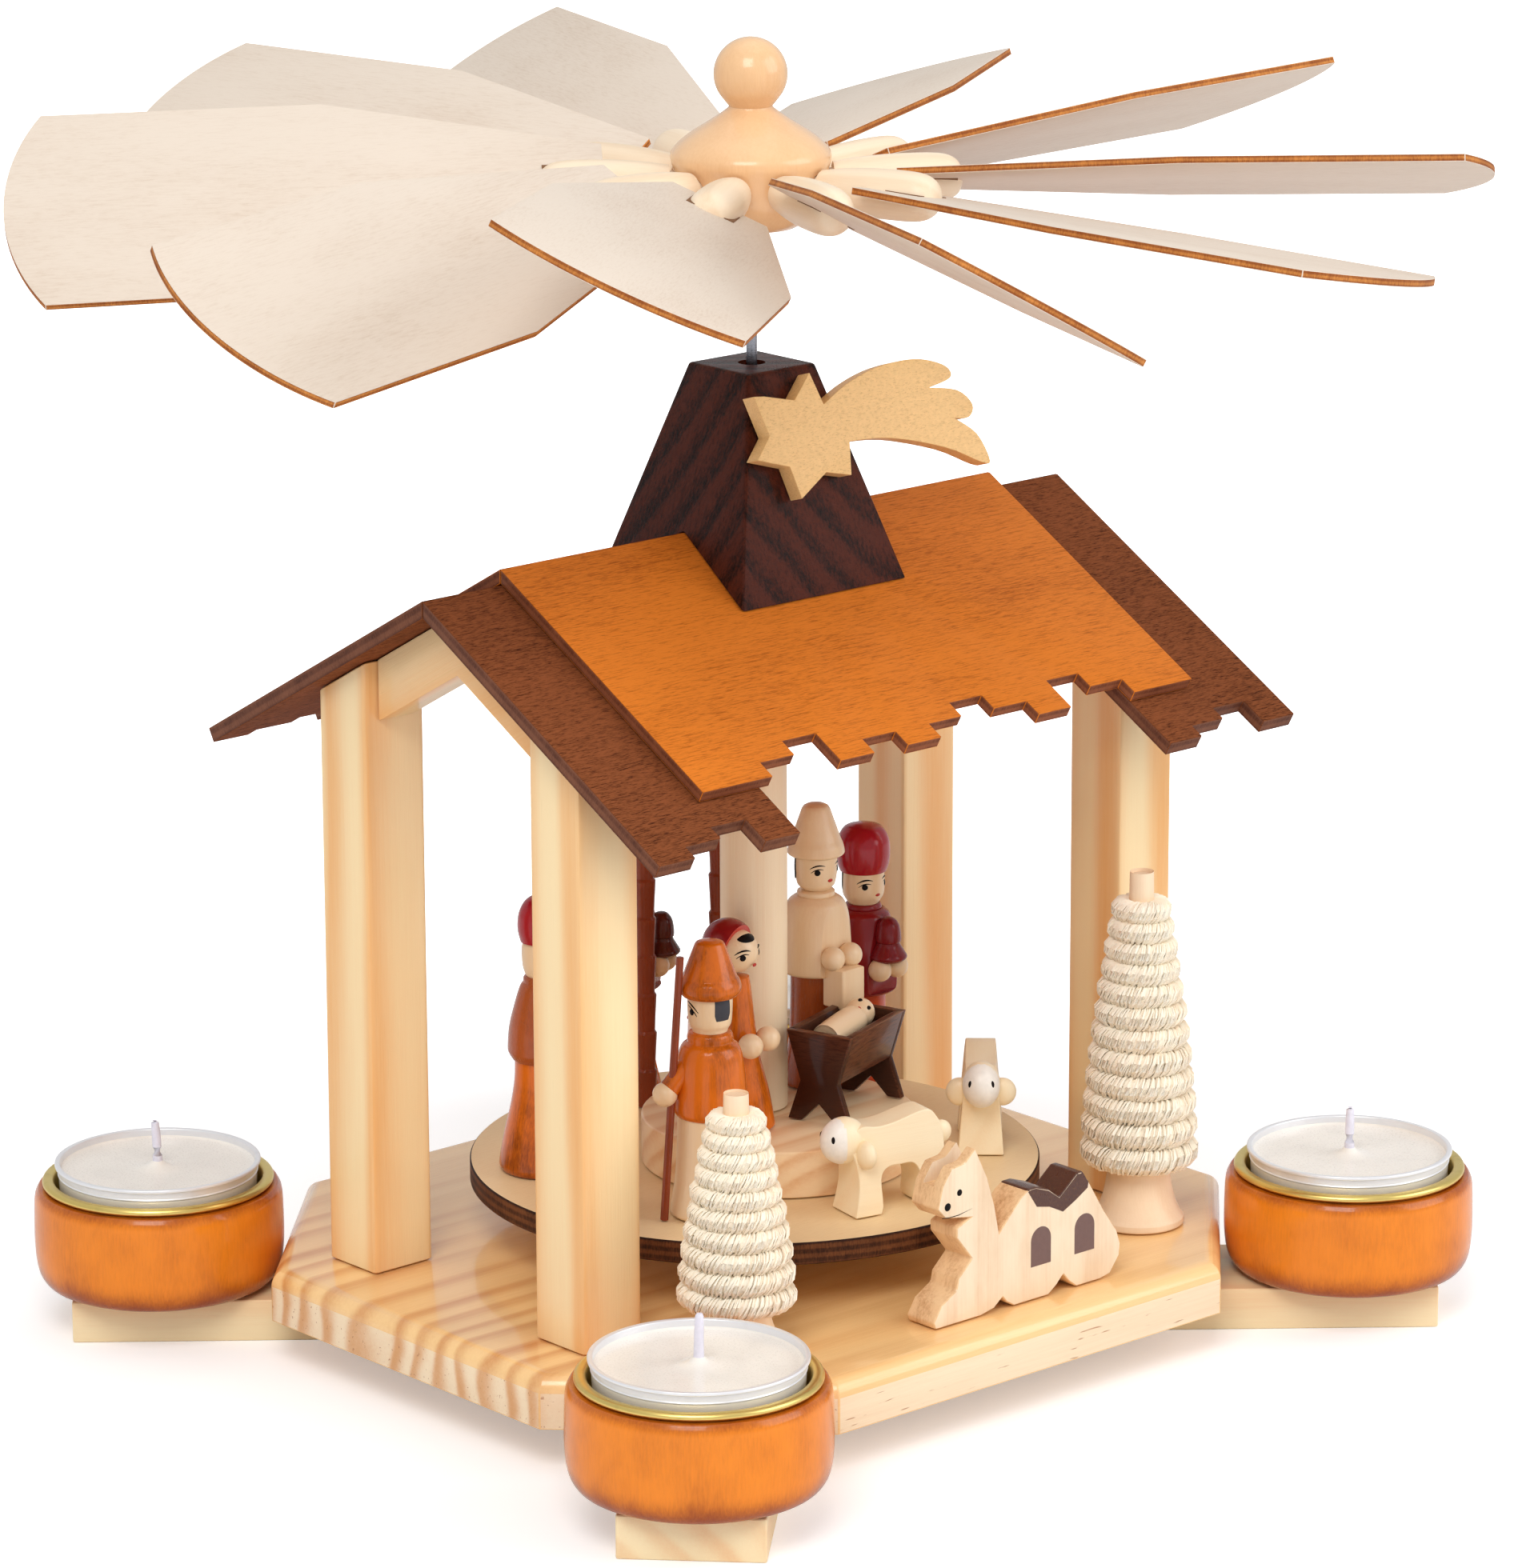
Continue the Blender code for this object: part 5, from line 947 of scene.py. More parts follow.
def make_rotor():
    """Spindle, hub with its finial ball, and the ten pitched blades in their pegs."""
    base, tip = LOW["spindle"].z / MM, HIGH["spindle"].z / MM
    spindle = [(0, (0, base), (1.0, base + 2.2)), (0, (1.0, tip)), (0, (0, tip))]
    Piece("spindle.steel").take(lathe(spindle, 32), "steel").place("carousel", "steel", "spindle")
    size, centre = 6.7, 27.6
    neck = math.asin(HUB[-1][0] / size)
    ball = [(size * math.sin(a), centre - size * math.cos(a))
            for a in (neck + (math.pi - neck) * i / 12 for i in range(1, 13))]
    hub = [(0, (0, 0), (8.2, 0)), (0, *HUB), (0, *ball)]
    bm = lathe(hub, 96)
    bm = carve(bm, dowel((0, 0, -5), (0, 0, 16), 1.3, 1.3, 24))
    for k in range(10):
        angle = blade_angle(k)
        bm = carve(bm, dowel(around(10.7, angle, 8), around(17, angle, 8), 2.5, 2.5, 24))
    Piece("hub.wood", 81).take(bm, "hub", lift(z=LOW["hub"].z)).place("carousel", "beech", "hub")
    s = bpy.context.scene.carousel_sizes
    outline = blade_outline()
    pitch = (17, 23, 16, 31, 26, 37, 29, 24, 30, 10)
    swing = (-7, -2.5, -1.5, 2, -2.5, 0, 9, 1.5, -3, -4.5)
    droop = (-1.7, 0.5, -1.2, 2, 0, -2.4, -0.3, 4, -1.5, -3.5)
    peg = [
        (0, (0, 11.0), (2.0, 11.0)), (0, (2.2, 11.2)), (0, (2.2, 14.9)), (0, (3.3, 14.9)),
        (0, (4.05, 20.1), (4.5, 26.7), (4.42, 34.2), (3.4, 37.2), (1.7, 38.3), (0, 38.5)),
    ]
    for k in range(10):
        name = f"blade_{k + 1:02d}"
        place = lift(0, 0, PLACE_OF[name][2], blade_angle(k))
        place = place @ Matrix.Rotation(-math.radians(pitch[k]), 4, "X")
        hold = Matrix.Translation((30 * MM, 0, 0))
        lean = Matrix.Rotation(-math.radians(droop[k]), 4, "Y")
        lean = lean @ Matrix.Rotation(math.radians(swing[k]), 4, "Z")
        set_by_hand = hold @ lean @ hold.inverted()
        piece = Piece(f"{name}.ply", 90 + k)
        bm = sawn(outline, s.blade_thick / MM, edge=1)
        bm = moved(bm, Matrix.Translation((0, 0, -s.blade_thick / 2)))
        ease_edges(bm, 0.12, 2, 40)
        swap = Matrix.Rotation(-math.pi / 2, 4, "Y")
        piece.take(bm, ("blade_face", "blade_edge"), place @ set_by_hand, swap)
        along = Matrix.Rotation(math.pi / 2, 4, "Y")
        piece.take(lathe(peg, 48), "peg", place @ along)
        # Thin brown strips on both faces of the blade at the peg: painted shade of the gap in the peg's slot.
        for up in (-1, 1):
            line = brick((30.5, -4.6, up * 0.72 - 0.12), (37.6, 4.6, up * 0.72 + 0.12))
            piece.take(line, "slot", place @ set_by_hand)
        piece.place(name, "birch_ply", name)


def blade_outline():
    """One blade from above: narrow inner end, kink, corners and an arched tip."""
    reach, half = 134.46, 23.1
    rise = reach - 127.4
    radius = (half * half + rise * rise) / (2 * rise)
    spread = math.asin(half / radius)
    tip = [(reach - radius + radius * math.cos(a), radius * math.sin(a))
           for a in (-spread + 2 * spread * i / 28 for i in range(29))]
    return [(26.5, -9.3), (76.7, -22.6), *tip, (76.7, 22.6), (26.5, 9.3)]


def spot(radius, angle, z, size, stretch=(0.3, 1, 1)):
    """A small painted mark on a round face."""
    place = Matrix.Translation(around(radius, angle, z) * MM) @ Matrix.Rotation(angle, 4, "Z")
    return moved(bead((0, 0, 0), size, stretch, 20), place)


def face_marks(piece, place, facing, z, radius, tilt=0.0):
    """Two round black eyes under a fine lid and a thin brow, and a small red mouth."""
    for side in (-1, 1):
        turn = facing + side * math.radians(40)
        piece.take(spot(radius, turn, z, 0.58), "black", place)
        for rise, bow, span, weight in ((1.35, 1.9, 0.78, 0.12), (0.62, 1.6, 0.62, 0.08)):
            path = []
            for step in range(9):
                t = step / 8 - 0.5
                level = z + rise - bow * t * t - (tilt + 0.55) * side * t
                path.append(around(radius - 0.02, turn + t * span, level) * MM)
            radii = [(0.05 + weight * math.cos((i / 8 - 0.5) * 3)) * MM for i in range(9)]
            piece.take(rope(path, radii, 8), "black", place)
    piece.take(spot(radius - 0.12, facing, z - 1.75, 0.6, (0.3, 1, 0.55)), "mouth", place)


def patch(profile, start, end, proud=0.05, rounded=0.0, crown=0.0):
    """A skin over part of a turned shape: (radius, height) points swept between two angles. Towards the sides
    its foot rises and its top falls by the given shares."""
    columns, rows = 14, 10
    bm = bmesh.new()
    line = smooth_curve(profile)
    low, high = line[0][1], line[-1][1]

    def radius_at(z):
        for (r0, z0), (r1, z1) in zip(line, line[1:]):
            if z <= z1:
                return r0 + (r1 - r0) * (z - z0) / (z1 - z0)
        return line[-1][0]

    grid = []
    for i in range(columns + 1):
        angle = start + (end - start) * i / columns
        away = abs(2 * i / columns - 1) ** 3
        floor, roof = low + (high - low) * rounded * away, high - (high - low) * crown * away
        levels = [floor + (roof - floor) * k / rows for k in range(rows + 1)]
        grid.append([[bm.verts.new(around(radius_at(z) + out, angle, z) * MM) for z in levels]
                     for out in (proud, -0.15)])
    for layer in (0, 1):
        for left, right in zip(grid, grid[1:]):
            for k in range(rows):
                corners = (left[layer][k], right[layer][k], right[layer][k + 1], left[layer][k + 1])
                bm.faces.new(corners[::1 - 2 * layer])
    for left, right in zip(grid, grid[1:]):
        for k in (0, -1):
            bm.faces.new((left[0][k], left[1][k], right[1][k], right[0][k]))
    for column in (grid[0], grid[-1]):
        for k in range(rows):
            bm.faces.new((column[0][k], column[0][k + 1], column[1][k + 1], column[1][k]))
    return bm


def flat_front(bm, radius, facing, low, high):
    """Saw a flat on the front of a turned shape, between two levels."""
    tool = brick((radius, -20, low), (radius + 20, 20, high))
    return carve(bm, moved(tool, Matrix.Rotation(facing, 4, "Z")))


def figure_place(node, x, y):
    return lift(x * MM, y * MM, LOW[node].z)


def take_hands(piece, place, ahead, apart, z, radius):
    """Both hands, as balls in front of the robe."""
    for side in (-1, 1):
        piece.take(bead((ahead, side * apart, z), radius), "natural", place)


def make_gift_bearer():
    """The figure in the brimmed hat with a square gift."""
    facing = math.radians(-88)
    runs = [
        (1, (0, 0), (6.2, 0)),
        (1, (6.6, 0.4), (6.5, 1.4), (5.6, 5.5), (5.1, 10.0), (4.9, 16.0), (4.85, 21.9)), (0, (6.3, 21.95)),
        (0, (6.72, 22.6), (6.74, 25.0), (6.56, 29.0), (6.2, 32.8), (5.4, 35.4), (4.2, 36.5), (3.5, 36.7)),
        (0, (3.6, 37.0), (3.5, 37.6), (2.9, 37.8)), (0, (2.5, 37.85)),
        (2, (3.2, 38.5), (3.64, 39.2), (4.0, 41.4), (4.02, 43.9), (3.9, 44.45)), (0, (4.8, 44.5)),
        (0, (5.35, 44.9), (5.4, 45.4), (5.15, 46.6), (4.72, 47.6)),
        (0, (4.1, 49.4), (3.3, 51.7), (2.7, 53.4), (2.3, 54.0)), (0, (1.4, 54.4), (0, 54.5)),
    ]
    bm = flat_front(lathe(runs, 72), 5.4, facing, 22.1, 36.2)
    place = figure_place("figure_gift_bearer", 18.1, 2.8)
    piece = Piece("figure_gift_bearer.wood", 101)
    piece.take(bm, ("natural", "skirt", "natural"), place)
    turn = place @ Matrix.Rotation(facing, 4, "Z")
    take_hands(piece, turn, 6.9, 2.25, 25.9, 2.3)
    piece.take(brick((4.7, -2.9, 16.5), (10.2, 2.9, 24.2), 0.5, 3), "natural", turn)
    face_marks(piece, place, facing, 41.9, 4.0)
    piece.take(patch(((3.95, 39.9), (4.05, 42.0), (3.98, 44.4)), facing - 2.75, facing - 1.95, rounded=0.3),
               "black", place)
    piece.place("carousel", "robe_stain", "figure_gift_bearer")


def vessel(place):
    """The turned vessel, as a part to take in."""
    runs = [
        (0, (0, 0), (2.9, 0)), (0, (3.5, 0.5), (3.6, 1.0), (3.0, 2.0), (2.4, 3.0), (2.2, 3.6)),
        (0, (2.45, 4.0), (2.4, 5.6), (2.0, 7.2), (1.1, 8.3), (0, 8.6)),
    ]
    return moved(lathe(runs, 40), place)


def make_red_turban():
    """The figure in the deep red turban with a dark vessel, and the one like it behind the palm."""
    for node, x, y, facing, seed, high in (("figure_red_turban", 38.2, 11.6, -88, 103, 54.4),
                                           ("figure_behind_palm", 6.2, 43.4, -60, 104, 53.8)):
        facing = math.radians(facing)
        runs = [
            (1, (0, 0), (6.0, 0)),
            (1, (6.4, 0.4), (6.3, 1.4), (5.3, 5.5), (4.6, 10.0), (4.35, 16.0), (4.3, 21.4)),
            (0, (6.0, 21.5)),
            (0, (6.45, 22.3), (6.5, 25.0), (6.3, 29.0), (5.9, 33.0), (5.1, 36.4), (4.1, 37.5), (3.5, 37.7)),
            (0, (3.55, 38.0), (3.3, 38.6), (2.9, 38.7)),
            (2, (3.3, 39.3), (3.95, 40.6), (4.08, 42.8), (4.0, 44.9)), (3, (4.5, 45.1)),
            (3, (5.0, 46.6), (5.2, 49.0), (4.9, 51.4), (3.7, 53.5), (1.8, high - 0.2), (0, high)),
        ]
        deep = node == "figure_red_turban"
        dress = ("hood", "orange_red", "natural", "red") if deep else ("skirt", "robe", "natural", "rim")
        bm = flat_front(lathe(runs, 72), 5.3, facing, 21.9, 36.4)
        place = figure_place(node, x, y)
        piece = Piece(f"{node}.wood", seed)
        piece.take(bm, dress, place)
        turn = place @ Matrix.Rotation(facing, 4, "Z")
        ahead, palm = 6.8, 0.495 * high
        take_hands(piece, turn, ahead, 2.2, palm, 2.25)
        clay = "wine" if deep else "vessel"
        piece.take(vessel(Matrix.Translation((ahead * MM, 0, (palm + 1.6) * MM))), clay, turn)
        face_marks(piece, place, facing, 42.6, 4.05)
        hair = ((3.7, 39.9), (4.08, 42.0), (4.06, 44.8))
        piece.take(patch(hair, facing - 2.75, facing - 2.05, rounded=0.3), "black", place)
        piece.place("carousel", "red_stain" if deep else "robe_stain", node)


def make_shepherd():
    """The figure in the wide hat and cape, with a staff."""
    facing = math.radians(128)
    runs = [
        (2, (0, 0), (6.9, 0)), (2, (7.4, 0.5), (7.35, 1.6), (6.6, 6.5), (6.2, 12.0), (6.0, 19.0)),
        (0, (6.3, 19.0)),
        (0, (6.75, 19.9), (6.7, 22.0), (6.35, 27.0), (5.9, 30.2), (5.2, 32.0), (4.2, 32.8)),
        (0, (4.15, 33.0)), (0, (4.2, 33.8), (3.9, 34.5), (3.2, 34.8)),
        (1, (3.4, 35.4), (3.95, 36.7), (4.14, 40.3), (3.95, 41.4)), (0, (4.96, 41.5)),
        (0, (5.6, 42.3), (5.76, 43.2), (5.5, 44.2), (5.0, 45.0)),
        (0, (4.2, 47.2), (3.3, 49.6), (2.7, 51.1), (2.3, 51.5)), (0, (1.2, 51.75), (0, 51.8)),
    ]
    place = figure_place("figure_shepherd", -29.9, -21.7)
    piece = Piece("figure_shepherd.wood", 105)
    piece.take(lathe(runs, 72), ("robe", "natural", "natural"), place)
    angle = facing + math.radians(35)
    reach = 6.7 + 2.3
    hand, shoulder = around(reach, angle, 23.74), around(3.35, angle, 29.8)
    piece.take(dowel(shoulder, hand, 2.0, 1.9, 28, 0.3), "robe", place)
    piece.take(bead(hand, 2.3), "natural", place)
    foot, tip = around(reach + 1.1, angle) + Vector((0.5, -0.5, 0)), around(reach - 1.4, angle, 49.5)
    piece.take(dowel(foot, tip + Vector((1.2, -1.1, 0)), 0.75, 0.7, 20, 0.1), "palm", place)
    face_marks(piece, place, math.radians(136), 38.9, 4.12, tilt=1.1)
    side = math.radians(265)
    piece.take(patch(((3.72, 36.2), (4.1, 38.4), (4.12, 40.3), (3.98, 41.3)), side - 0.41, side + 0.41, 0.07,
                     rounded=0.45), "slate", place)
    piece.place("carousel", "robe_stain", "figure_shepherd")


def make_mother():
    """The kneeling figure in the hooded cloak."""
    facing = math.radians(-75)
    runs = [
        (0, (0, 0), (6.3, 0)),
        (0, (6.85, 0.5), (6.9, 1.3), (5.95, 6.8), (5.0, 10.6), (4.05, 14.6), (3.3, 20.6), (2.7, 26.0),
         (2.3, 29.0)),
        (0, (0, 29.4)),
    ]
    place = figure_place("figure_mother", -11.4, -8.1)
    piece = Piece("figure_mother.wood", 106)
    piece.take(lathe(runs, 72), "robe", place)
    level = 33.9
    piece.take(bead((0, 0, level), 4.05, sides=48), "natural", place)
    turn = place @ Matrix.Rotation(facing, 4, "Z")
    opening = Matrix.Translation((-0.3 * MM, 0, level * MM)) @ Matrix.Rotation(math.radians(15), 4, "Y")
    hood = bead((-1.9, 0, level + 1.0), 4.85, sides=56)
    hood = carve(hood, moved(brick((0, -9, -9), (18, 9, 9)), opening))
    hood.normal_update()
    ahead = opening.to_3x3() @ Vector((1, 0, 0))
    for face in hood.faces:
        cut_flat = face.normal.dot(ahead) > 0.99 and face.calc_center_median().x > -0.0022
        face.material_index = 1 if cut_flat else 0
    piece.take(hood, ("hood", "rim"), turn)
    take_hands(piece, turn, 4.9, 2.9, 17.0, 2.35)
    face_marks(piece, place, facing, level - 0.4, 4.04)
    angles = (math.radians(v) for v in (34, 42, 50, 60))
    fringe = [(4.03 * math.cos(a), level + 4.03 * math.sin(a)) for a in angles]
    piece.take(patch(fringe, facing - 0.95, facing + 0.75, 0.08, rounded=0.45, crown=0.4), "black", place)
    piece.place("carousel", "robe_stain", "figure_mother")


def make_bell_robe():
    """The figure in the bell-shaped robe and red ball turban."""
    facing = math.radians(-30)
    runs = [
        (1, (0, 0), (7.9, 0)),
        (1, (8.3, 0.6), (8.3, 1.8), (7.35, 6.9), (6.1, 12.3), (5.35, 17.0), (5.2, 21.1)), (0, (5.6, 21.2)),
        (0, (6.3, 22.4), (6.5, 23.5), (6.2, 27.4), (5.2, 31.6), (4.2, 34.9), (3.5, 36.0)),
        (0, (3.4, 36.9), (2.9, 37.2)), (2, (3.2, 37.8), (3.6, 39.4), (3.7, 42.4), (3.4, 43.6)),
        (3, (3.9, 43.8)), (3, (4.35, 45.6), (4.42, 47.4), (4.1, 49.4), (3.1, 51.3), (1.6, 52.4), (0, 52.6)),
    ]
    place = figure_place("figure_bell_robe", -35.3, 19.3)
    piece = Piece("figure_bell_robe.wood", 107)
    bm = flat_front(lathe(runs, 72), 5.0, facing, 21.6, 34.0)
    piece.take(bm, ("skirt", "robe", "natural", "red"), place)
    turn = place @ Matrix.Rotation(facing, 4, "Z")
    take_hands(piece, turn, 6.3, 1.9, 23.5, 2.2)
    face_marks(piece, place, facing, 41.0, 3.72)
    piece.place("carousel", "robe_stain", "figure_bell_robe")


SHEEP = (
    (-0.49, 0.0), (-0.22, 0.0), (-0.21, 0.36), (-0.14, 0.47), (0.0, 0.48), (0.14, 0.46), (0.22, 0.27),
    (0.24, 0.0), (0.50, 0.0), (0.46, 0.22), (0.45, 0.72), (0.38, 0.92), (0.27, 1.0), (-0.04, 0.93),
    (-0.22, 0.91), (-0.40, 0.93), (-0.52, 0.80), (-0.46, 0.55), (-0.44, 0.30),
)


def make_sheep():
    """The two sheep: sawn bodies, round heads with white fronts, hanging ears and stub tails."""
    for name, x, y, turn, seed in (("side", -2.4, -40.3, -11, 111), ("facing", 36.2, -23.3, 47, 112)):
        outline = [(px * 20.5, pz * 18.0) for px, pz in SHEEP]
        outline = [(px, max(pz, 0)) for px, pz in smooth_curve([*outline, outline[0]], 4)[:-1]]
        bm = side_cut(outline, 8.6, 1.1, 5)
        for vert in bm.verts:
            narrowing = 1 - 0.34 * vert.co.z / (18.0 * MM)
            vert.co.y = (vert.co.y - 4.3 * MM) * narrowing
        node = f"sheep_{name}"
        place = lift(x * MM, y * MM, LOW[node].z, math.radians(turn))
        piece = Piece(f"{node}.wood", seed)
        piece.take(bm, "sheep", place, GRAIN_ALONG_X)
        head = bead((0, 0, 0), 1, (4.5, 3.6, 4.4), 48)
        for face in head.faces:
            if face.calc_center_median().x < -1.0 * MM:
                face.material_index = 1
        head = moved(head, Matrix.Translation((-10.25 * MM, 0, 13.95 * MM)))
        piece.take(head, ("sheep", "white"), place)
        for side in (-1, 1):
            ear = moved(bead((0, 0, 0), 1, (1.7, 2.6, 2.7), 28),
                        Matrix.Translation((-7.8 * MM, side * 4.0 * MM, 11.8 * MM)))
            piece.take(ear, "sheep", place)
            eye = bead((-13.55, side * 2.0, 14.9), 0.72, (0.5, 0.6, 1.05), 20)
            piece.take(eye, "black", place)
        piece.take(bead((10.6, 0, 12.2), 1, (2.2, 1.5, 2.2), 28), "sheep", place)
        piece.place("carousel", "sheep_wood", node)


def make_palms():
    """Two palms: ringed trunks under crowns of drooping leaves."""
    spots, tall, joints = ((3.1, 34.7), (16.3, 28.3)), 68, 9
    reach = math.dist(*spots) * 0.475
    outline = [(0, -0.8), (reach / 2, -1.6), (reach * 0.8, -0.9), (reach, 0), (reach * 0.8, 0.9),
               (reach / 2, 1.6), (0, 0.8)]
    for index, (x, y) in enumerate(spots, 1):
        runs, pitch = [(0, (0, 0), (1.76, 0))], tall / joints
        for i in range(joints):
            low = pitch * i
            runs.append((0, (1.86, low + pitch * 0.35), (2.1, low + pitch * 0.93)))
            runs.append((0, (1.76 if i < joints - 1 else 0, low + pitch)))
        node = f"palm_{index}"
        place = lift(x * MM, y * MM, LOW[node].z)
        piece = Piece(f"{node}.wood", 120 + index)
        piece.take(lathe(runs, 40), "palm", place)
        piece.take(bead((0, 0, tall), 2.8), "palm", place)
        for k in range(6):
            bm = moved(sawn(outline, 1.2, 0.3), Matrix.Translation((0, 0, -0.6 * MM)))
            bmesh.ops.subdivide_edges(bm, edges=bm.edges, cuts=2, use_grid_fill=True)
            for vert in bm.verts:
                vert.co.z += (tall - 3.5 * (vert.co.x / MM / reach) ** 2) * MM
            piece.take(bm, "palm", place @ Matrix.Rotation(math.tau * k / 6, 4, "Z"), GRAIN_ALONG_X)
        piece.place("carousel", "walnut_stain", node)


def make_manger():
    """The manger on crossed legs with the child in its trough."""
    top, waist, feet, high, board, keel, crotch = 6.8, 3.9, 6.5, 17.2, 1.6, 7.7, 3.6
    right = [(feet - 2.9, 0), (feet, 0), (waist, keel), (top, high)]
    left = [(-y, z) for y, z in reversed(right)]
    place = lift(11.3 * MM, -13.2 * MM, LOW["manger"].z, math.radians(19))
    piece = Piece("manger.wood", 131)
    for start in (-10.9, 10.9 - board):
        piece.take(upright(right + left + [(0, crotch)], start, start + board, 0.25), "manger", place,
                   GRAIN_ALONG_Y)
    inner_top, inner_waist, floor = 5.2, 3.8, 12.4
    trough = [(-waist, keel), (waist, keel), (top, high), (inner_top, high), (inner_waist, floor),
              (-inner_waist, floor), (-inner_top, high), (-top, high)]
    piece.take(upright(trough, -10.0, 10.0, 0.15), "manger", place, GRAIN_ALONG_X)
    lie = floor + 3.0
    body = [(0, (0, 0), (2.7, 0)), (0, (2.95, 0.3), (2.95, 9.0), (2.4, 11.4), (1.6, 12.2)), (0, (0, 12.3))]
    along = Matrix.Translation((-7.6 * MM, 0, lie * MM)) @ Matrix.Rotation(math.radians(85.2), 4, "Y")
    piece.take(lathe(body, 48), "natural", place @ along)
    looking = Matrix.Rotation(math.radians(34), 4, "X") @ Matrix.Rotation(math.radians(-26), 4, "Y")
    head = place @ Matrix.Translation(Vector((5.2, 0, lie + 1.7)) * MM) @ looking
    piece.take(bead((0, 0, 0), 2.8, sides=40), "natural", head)
    for side in (-1, 1):
        piece.take(bead((0.4, side * 1.05, 2.55), 0.45, (1, 1, 0.4), 16), "black", head)
    piece.take(bead((-1.0, 0, 2.57), 0.36, (0.6, 1.1, 0.4), 16), "mouth", head)
    piece.place("carousel", "dark_stain", "manger")


def make_stage():
    """White floor with a soft shadow, an overcast sky, a large lamp from the left, and the camera."""
    light = bpy.context.scene.carousel_light
    bench = Bench("floor")
    place = bench.node("ShaderNodeNewGeometry")
    away = bench.node("ShaderNodeVectorMath", {"operation": "LENGTH"}, {0: place}, output=1)
    far = bench.step(away, 0.13, 0.25)
    seen = bench.node("ShaderNodeLightPath")
    glow = bench.mix((light.floor_glow, light.floor_glow, light.floor_glow, 1), (1, 1, 1, 1), far)
    bench.set(Base_Color=shade(243, 242, 242), Roughness=0.9, Specular_IOR_Level=0.0,
              Emission_Color=glow * seen, Emission_Strength=1.0)
    bm = bmesh.new()
    bmesh.ops.create_circle(bm, cap_ends=True, segments=96, radius=6.0)
    mesh = bpy.data.meshes.new("floor")
    bm.to_mesh(mesh)
    bm.free()
    mesh.materials.append(bench.material)
    floor = bpy.data.objects.new("floor", mesh)
    bpy.context.scene.collection.objects.link(floor)
    world = bpy.data.worlds.new("sky")
    world.use_nodes = True
    tree = world.node_tree
    sky, white = tree.nodes["Background"], tree.nodes.new("ShaderNodeBackground")
    sky.inputs["Color"].default_value = (*light.sky_colour, 1)
    sky.inputs["Strength"].default_value = light.sky
    mix, path = tree.nodes.new("ShaderNodeMixShader"), tree.nodes.new("ShaderNodeLightPath")
    white.inputs["Color"].default_value = (1, 1, 1, 1)
    tree.links.new(path.outputs["Is Camera Ray"], mix.inputs[0])
    tree.links.new(sky.outputs[0], mix.inputs[1])
    tree.links.new(white.outputs[0], mix.inputs[2])
    tree.links.new(mix.outputs[0], tree.nodes["World Output"].inputs["Surface"])
    bpy.context.scene.world = world
    lamps = (("key", light.key, (-0.95, -0.75, 1.35), 0.8, (1.0, 0.985, 0.96)),
             ("fill", light.fill, (0.9, -1.3, 0.9), 1.2, (0.97, 0.98, 1.0)),
             ("top", light.top, (0.1, 0.2, 1.8), 1.4, (1.0, 1.0, 1.0)))
    for name, power, where, size, colour in lamps:
        data = bpy.data.lights.new(name, "AREA")
        data.energy, data.size, data.color = power, size, colour
        lamp = bpy.data.objects.new(name, data)
        lamp.location = where
        lamp.rotation_euler = (Vector((0, 0, 0.12)) - Vector(where)).to_track_quat("-Z", "Y").to_euler()
        bpy.context.scene.collection.objects.link(lamp)
    azimuth, elevation, roll = (math.radians(v) for v in (-41.515, 14.710, -0.220))
    back = Vector((math.sin(azimuth) * math.cos(elevation), -math.cos(azimuth) * math.cos(elevation),
                   math.sin(elevation)))
    right = (-back).cross(Vector((0, 0, 1))).normalized()
    up = right.cross(-back)
    turned_right = right * math.cos(roll) + up * math.sin(roll)
    turned_up = up * math.cos(roll) - right * math.sin(roll)
    data = bpy.data.cameras.new("camera")
    data.sensor_fit, data.sensor_height, data.sensor_width, data.lens = "VERTICAL", 36, 36, 154.74
    data.shift_x, data.shift_y = 0.00246, -0.0227
    camera = bpy.data.objects.new("camera", data)
    aim, distance = Vector((0, 0, 0.11)), 1.244676
    facing = Matrix((turned_right, turned_up, back)).transposed().to_4x4()
    camera.matrix_world = Matrix.Translation(aim + back * distance) @ facing
    bpy.context.scene.collection.objects.link(camera)
    bpy.context.scene.camera = camera
    bpy.context.scene.view_settings.view_transform = "Standard"


class CarouselSizes(bpy.types.PropertyGroup):
    """Sizes shared by several pieces."""

    slat_reach: FloatProperty(name="Slat reach", description="From the middle to the end of a slat",
                              default=0.1276, unit="LENGTH", subtype="DISTANCE")
    slat_width: FloatProperty(name="Slat width", description="Across a slat", default=0.026, unit="LENGTH",
                              subtype="DISTANCE")
    blade_thick: FloatProperty(name="Blade thickness", description="Of the plywood blades", default=0.0014,
                               unit="LENGTH", subtype="DISTANCE")


class CarouselColours(bpy.types.PropertyGroup):
    """Colours that set the look of the wood."""

    pine: FloatVectorProperty(name="Pine", description="Pale wood of the posts",
                              default=shade(255, 228, 178)[:3], subtype="COLOR", min=0, max=1)
    honey: FloatVectorProperty(name="Late wood", description="Darker bands of the posts",
                               default=shade(238, 160, 72)[:3], subtype="COLOR", min=0, max=1)
    cup: FloatVectorProperty(name="Cups", description="Orange-brown stain of the cups",
                             default=shade(244, 138, 30)[:3], subtype="COLOR", min=0, max=1)


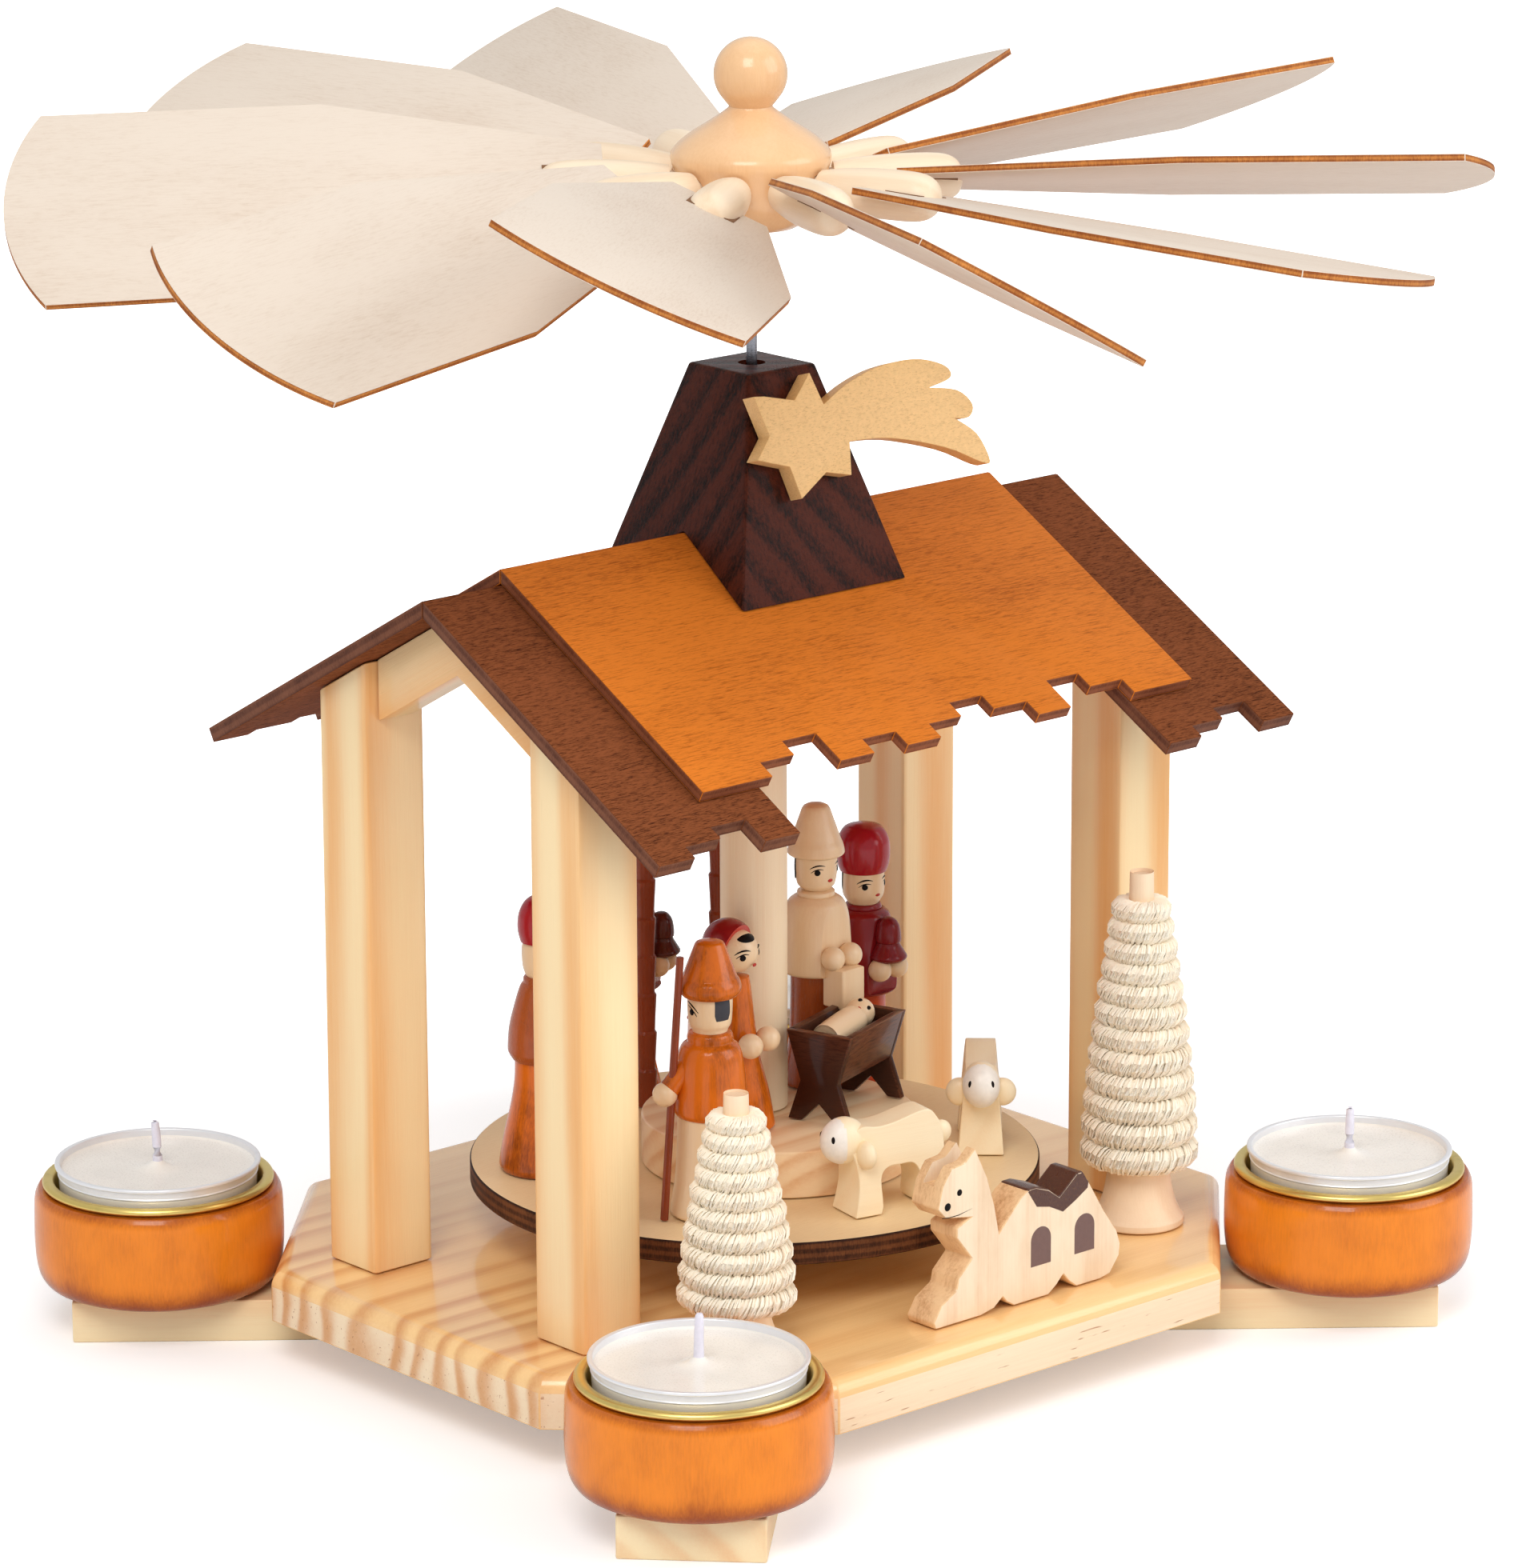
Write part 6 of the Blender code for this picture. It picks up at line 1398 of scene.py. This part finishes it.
class CarouselLight(bpy.types.PropertyGroup):
    """Lamps and sky."""

    key: FloatProperty(name="Key", description="Large lamp from the left", default=12.6, subtype="POWER")
    fill: FloatProperty(name="Fill", description="Lamp from the right", default=11.0, subtype="POWER")
    top: FloatProperty(name="Top", description="Lamp from above", default=3.0, subtype="POWER")
    sky: FloatProperty(name="Sky", description="Strength of the sky", default=0.62)
    sky_colour: FloatVectorProperty(name="Sky colour", description="Light of the sky",
                                    default=(0.96, 0.98, 1.0), subtype="COLOR")
    floor_glow: FloatProperty(name="Floor glow", description="White added to the floor near the object",
                              default=0.3)


class MakeStand(bpy.types.Operator):
    """The slats, the base board and the bearing pan."""

    bl_idname = "carousel.stand"
    bl_label = "Stand"

    def execute(self, context):
        make_stand()
        return {"FINISHED"}


class MakePosts(bpy.types.Operator):
    """The four posts and the two gable frames."""

    bl_idname = "carousel.posts"
    bl_label = "Posts and gable frames"

    def execute(self, context):
        make_posts()
        return {"FINISHED"}


class MakeRoof(bpy.types.Operator):
    """The six roof boards."""

    bl_idname = "carousel.roof"
    bl_label = "Roof"

    def execute(self, context):
        make_roof()
        return {"FINISHED"}


class MakeChimney(bpy.types.Operator):
    """The chimney and the comet on it."""

    bl_idname = "carousel.chimney"
    bl_label = "Chimney and comet"

    def execute(self, context):
        make_chimney()
        return {"FINISHED"}


class MakeCandles(bpy.types.Operator):
    """The cups, their liners and the tea lights."""

    bl_idname = "carousel.candles"
    bl_label = "Candles"

    def execute(self, context):
        make_candles()
        return {"FINISHED"}


class MakeTrees(bpy.types.Operator):
    """The two shaved trees."""

    bl_idname = "carousel.trees"
    bl_label = "Shaved trees"

    def execute(self, context):
        make_trees()
        return {"FINISHED"}


class MakeCamel(bpy.types.Operator):
    """The kneeling camel."""

    bl_idname = "carousel.camel"
    bl_label = "Camel"

    def execute(self, context):
        make_camel()
        return {"FINISHED"}


class MakeTurntable(bpy.types.Operator):
    """The turntable, the plinth and the column."""

    bl_idname = "carousel.turntable"
    bl_label = "Turntable"

    def execute(self, context):
        make_turntable()
        return {"FINISHED"}


class MakeRotor(bpy.types.Operator):
    """The spindle, the hub and the ten blades."""

    bl_idname = "carousel.rotor"
    bl_label = "Rotor"

    def execute(self, context):
        make_rotor()
        return {"FINISHED"}


class MakeManger(bpy.types.Operator):
    """The manger with the child."""

    bl_idname = "carousel.manger"
    bl_label = "Manger"

    def execute(self, context):
        make_manger()
        return {"FINISHED"}


class MakeFigures(bpy.types.Operator):
    """The six turned figures."""

    bl_idname = "carousel.figures"
    bl_label = "Figures"

    def execute(self, context):
        make_gift_bearer()
        make_red_turban()
        make_shepherd()
        make_mother()
        make_bell_robe()
        return {"FINISHED"}


class MakeSheep(bpy.types.Operator):
    """The two sheep."""

    bl_idname = "carousel.sheep"
    bl_label = "Sheep"

    def execute(self, context):
        make_sheep()
        return {"FINISHED"}


class MakePalms(bpy.types.Operator):
    """The two palms."""

    bl_idname = "carousel.palms"
    bl_label = "Palms"

    def execute(self, context):
        make_palms()
        return {"FINISHED"}


class MakeStage(bpy.types.Operator):
    """The floor, the lamps, the sky and the camera."""

    bl_idname = "carousel.stage"
    bl_label = "Stage"

    def execute(self, context):
        make_stage()
        return {"FINISHED"}


OPERATORS = (
    MakeStand, MakePosts, MakeRoof, MakeChimney, MakeCandles, MakeTrees, MakeCamel,
    MakeTurntable, MakeRotor, MakeManger, MakeFigures, MakeSheep, MakePalms, MakeStage,
)


class CarouselPanel(bpy.types.Panel):
    """The carousel's pieces and settings in the sidebar."""

    bl_idname = "VIEW3D_PT_carousel"
    bl_label = "Candle carousel"
    bl_space_type = "VIEW_3D"
    bl_region_type = "UI"
    bl_category = "Carousel"

    def draw(self, context):
        for settings in ("carousel_sizes", "carousel_colours", "carousel_light"):
            group = getattr(context.scene, settings)
            for name in group.__annotations__:
                self.layout.prop(group, name)
        for operator in OPERATORS:
            self.layout.operator(operator.bl_idname)


CLASSES = (CarouselSizes, CarouselColours, CarouselLight, *OPERATORS, CarouselPanel)


def register():
    for cls in CLASSES:
        bpy.utils.register_class(cls)
    bpy.types.Scene.carousel_sizes = PointerProperty(type=CarouselSizes)
    bpy.types.Scene.carousel_colours = PointerProperty(type=CarouselColours)
    bpy.types.Scene.carousel_light = PointerProperty(type=CarouselLight)


def unregister():
    del bpy.types.Scene.carousel_light
    del bpy.types.Scene.carousel_colours
    del bpy.types.Scene.carousel_sizes
    for cls in reversed(CLASSES):
        bpy.utils.unregister_class(cls)


def main():
    """Build everything."""
    register()
    make_finishes()
    for operator in OPERATORS:
        group, name = operator.bl_idname.split(".")
        getattr(getattr(bpy.ops, group), name)()


if __name__ == "__main__":
    main()
